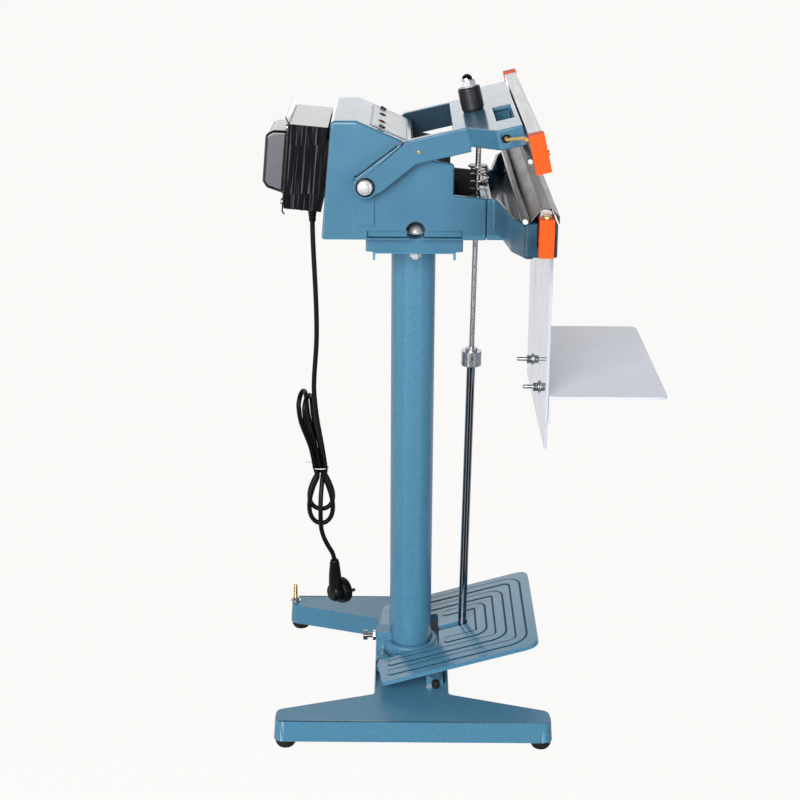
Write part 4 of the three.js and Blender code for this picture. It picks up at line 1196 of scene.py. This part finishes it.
def raised_band(bm, half, front, rear, corner):
    """A raised U band with round ends, painted shade on its walls and a flat painted shade strip along each
    foot.
    """
    rows = []
    for point, along, reach in band_stations(band_line(half, front, rear, corner)):
        side = Vector((-along.y, along.x))
        edge = BAND_EDGE if reach > BAND_EDGE else reach * 0.3
        half_ring = [(reach + BAND_SHADE_WIDTH, BAND_LOW), (reach + BAND_SHADE_WIDTH, BAND_LOW + SHADE_STRIP_TOP),
                     (reach, BAND_LOW + SHADE_STRIP_TOP), (reach - edge * 0.35, BAND_HIGH - BAND_EDGE * 0.4),
                     (reach - edge, BAND_HIGH)]
        ring = [(point - side * away, z) for away, z in half_ring]
        ring += [(point + side * away, z) for away, z in reversed(half_ring)]
        rows.append([bm.verts.new(PEDAL_FRAME @ (Vector((p.x, p.y, z)) * MM)) for p, z in ring])
    for first, second in zip(rows, rows[1:]):
        for j in range(10):
            k = (j + 1) % 10
            face = bm.faces.new([first[j], first[k], second[k], second[j]])
            # Painted shade on the walls and foot strips; only the top keeps the tread paint.
            if j not in (3, 4, 5):
                face.material_index = 1
    bm.faces.new(rows[0])
    bm.faces.new(rows[-1][::-1])


def make_pedal():
    refined("pedal", TREAD, "foot_pedal", 1.4, 3)
    bands = bmesh.new()
    for middle, rear in ((21.5, -16), (48.8, -16), (75.8, -97)):
        raised_band(bands, PEDAL_HALF - middle, PEDAL_FRONT + middle, rear, 21 - middle * 0.16)
    # The second material is the painted shade on the bands' walls and foot strips.
    place("pedal_tread", bands, TREAD, "foot_pedal", extra=[SHADED])


# ---- pull rod and return spring ----------------------------------------------------------------
SPRING_WIRE = 2.0
SPRING_TURNS = 7
SPRING_STEPS = 24       # rings in each turn
SPRING_SIDES = 10


def make_spring():
    """A coil with closed ends, wound to its free length."""
    low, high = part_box("return_spring")
    foot = Vector(((low.x + high.x) / 2, (low.y + high.y) / 2, low.z))
    free_length = high.z - low.z
    wire_radius = SPRING_WIRE / 2 * MM
    coil_radius = (high.x - low.x) / 2 - wire_radius
    coil = bmesh.new()
    rings = []
    for i in range(SPRING_TURNS * SPRING_STEPS + 1):
        turns = i / SPRING_STEPS
        angle = 2 * math.pi * turns
        risen = min(max((turns - 1) / (SPRING_TURNS - 2), 0), 1)
        outward = Vector((math.cos(angle), math.sin(angle), 0))
        height = wire_radius + (free_length - 2 * wire_radius) * risen
        middle = foot + outward * coil_radius + Vector((0, 0, height))
        ring = []
        for k in range(SPRING_SIDES):
            around = 2 * math.pi * k / SPRING_SIDES
            reach = outward * math.cos(around) + Vector((0, 0, math.sin(around)))
            ring.append(coil.verts.new(middle + reach * wire_radius))
        rings.append(ring)
    for first, second in zip(rings, rings[1:]):
        for k in range(SPRING_SIDES):
            coil.faces.new([first[k - 1], first[k], second[k], second[k - 1]])
    coil.faces.new(rings[0])
    coil.faces.new(rings[-1][::-1])
    piece = place("return_spring_coil", coil, ZINC, "stand", ["return_spring"])
    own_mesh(piece)


def make_rod():
    refined("pull_rod_upper", ZINC, "pull_rod", 0.4)
    refined("pull_rod_lower", DARK_CHROME, "pull_rod", 0.4)
    refined("rod_collar", ZINC, "pull_rod", 0.7, 3)
    refined("rod_foot_nut", ZINC, "pull_rod", 0.6)


make_stand()
make_head()
make_transformer()
make_arm()
make_lower_jaw()
make_tray()
make_pedal()
make_rod()
make_spring()


# ---- pieces kept as the CAD drew them ---------------------------------------------------------
KEPT = {
    "timer_board": CIRCUIT,
    "micro_switch": BLACK_PLASTIC,
    "heating_element": ZINC,
}
for node, material in KEPT.items():
    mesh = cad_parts[node].data
    mesh.materials.clear()
    mesh.materials.append(material)


# ---- floor and light --------------------------------------------------------------------------
ROOM_LIGHT = 0.23
KEY_POWER = 80
SHEEN_RADIANCE = 0.75
STRIP_POWER = 4.5
RIM_POWER = 10


def make_floor():
    bm = bmesh.new()
    bmesh.ops.create_grid(bm, x_segments=1, y_segments=1, size=30)
    mesh = bpy.data.meshes.new("floor")
    bm.to_mesh(mesh)
    bm.free()
    floor = bpy.data.objects.new("floor", mesh)
    bpy.context.scene.collection.objects.link(floor)
    s = Shader("floor")
    s.set(Roughness=0.9, Specular_IOR_Level=0.0, Base_Color=(0.03, 0.03, 0.03, 1))
    s.set(Emission_Color=(1.0, 0.99, 0.972, 1), Emission_Strength=0.945)
    mesh.materials.append(s.material)
    floor.visible_diffuse = False
    floor.visible_glossy = False


def area_light(name, place_m, aim, size, power, colour=(1, 1, 1)):
    data = bpy.data.lights.new(name, "AREA")
    data.shape = "RECTANGLE"
    data.size, data.size_y = size
    data.energy = power
    data.color = colour
    light = bpy.data.objects.new(name, data)
    bpy.context.scene.collection.objects.link(light)
    light.location = place_m
    light.rotation_euler = (Vector(aim) - Vector(place_m)).to_track_quat("-Z", "Y").to_euler()
    light.visible_camera = False
    return light


def make_world():
    """A white backdrop for the camera, dim soft light all round, and for reflections a bright far side."""
    world = bpy.data.worlds.new("studio")
    bpy.context.scene.world = world
    world.use_nodes = True
    nodes = world.node_tree.nodes
    links = world.node_tree.links
    backdrop = nodes["Background"]
    backdrop.inputs["Color"].default_value = (0.965, 0.957, 0.94, 1)
    room = nodes.new("ShaderNodeBackground")
    room.inputs["Color"].default_value = (0.92, 0.96, 1.0, 1)
    room.inputs["Strength"].default_value = ROOM_LIGHT
    mirrored = nodes.new("ShaderNodeBackground")
    mirrored.inputs["Color"].default_value = (0.97, 0.98, 1.0, 1)
    direction = nodes.new("ShaderNodeTexCoord")
    split = nodes.new("ShaderNodeSeparateXYZ")
    links.new(direction.outputs["Generated"], split.inputs["Vector"])
    far_side = map_range(world.node_tree, split.outputs["X"], -0.1, 0.5, 0.05, 0.85)
    low_down = map_range(world.node_tree, split.outputs["Z"], 0.1, 0.38, 1.0, 0.08)
    product = nodes.new("ShaderNodeMath")
    product.operation = "MULTIPLY"
    links.new(far_side, product.inputs[0])
    links.new(low_down, product.inputs[1])
    links.new(product.outputs["Value"], mirrored.inputs["Strength"])
    path = nodes.new("ShaderNodeLightPath")
    reflect = nodes.new("ShaderNodeMixShader")
    links.new(path.outputs["Is Glossy Ray"], reflect.inputs["Fac"])
    links.new(room.outputs["Background"], reflect.inputs[1])
    links.new(mirrored.outputs["Background"], reflect.inputs[2])
    seen = nodes.new("ShaderNodeMixShader")
    links.new(path.outputs["Is Camera Ray"], seen.inputs["Fac"])
    links.new(reflect.outputs["Shader"], seen.inputs[1])
    links.new(backdrop.outputs["Background"], seen.inputs[2])
    links.new(seen.outputs["Shader"], nodes["World Output"].inputs["Surface"])


def make_light():
    area_light("key", (-2.4, 0.85, 1.35), (0, 0.05, 0.55), (1.7, 1.7), KEY_POWER)
    area_light("fill", (-2.3, -1.3, 0.7), (0, 0, 0.45), (1.4, 1.4), KEY_POWER * 0.14)
    for name, middle, wide, high, share in (
        ("far_panel", (1.3, 0.05, 1.5), 2.8, 1.2, 1.0),
        ("low_panel", (1.3, 0.42, 0.61), 1.2, 0.38, 2.1),
        ("tray_panel", (1.3, -0.56, 0.72), 0.7, 0.36, 1.1),
    ):
        level = (0, middle[1], middle[2])
        panel = area_light(name, middle, level, (wide, high), SHEEN_RADIANCE * share * math.pi * wide * high)
        panel.visible_diffuse = False
        panel.visible_transmission = False
    for name, side in (("strip_left", 1.0), ("strip_right", -1.0)):
        strip = area_light(name, (-1.75, 0.05 + side * 1.25, 0.3), (0, 0.05, 0.3), (0.3, 2.6), STRIP_POWER)
        strip.visible_diffuse = False
    rim = area_light("rim_left", (-0.3, 2.4, 0.15), (0, 0.1, 0.15), (1.2, 2.4), RIM_POWER)
    rim.visible_diffuse = False


make_world()
make_floor()
make_light()
bpy.context.scene.view_settings.view_transform = "Standard"
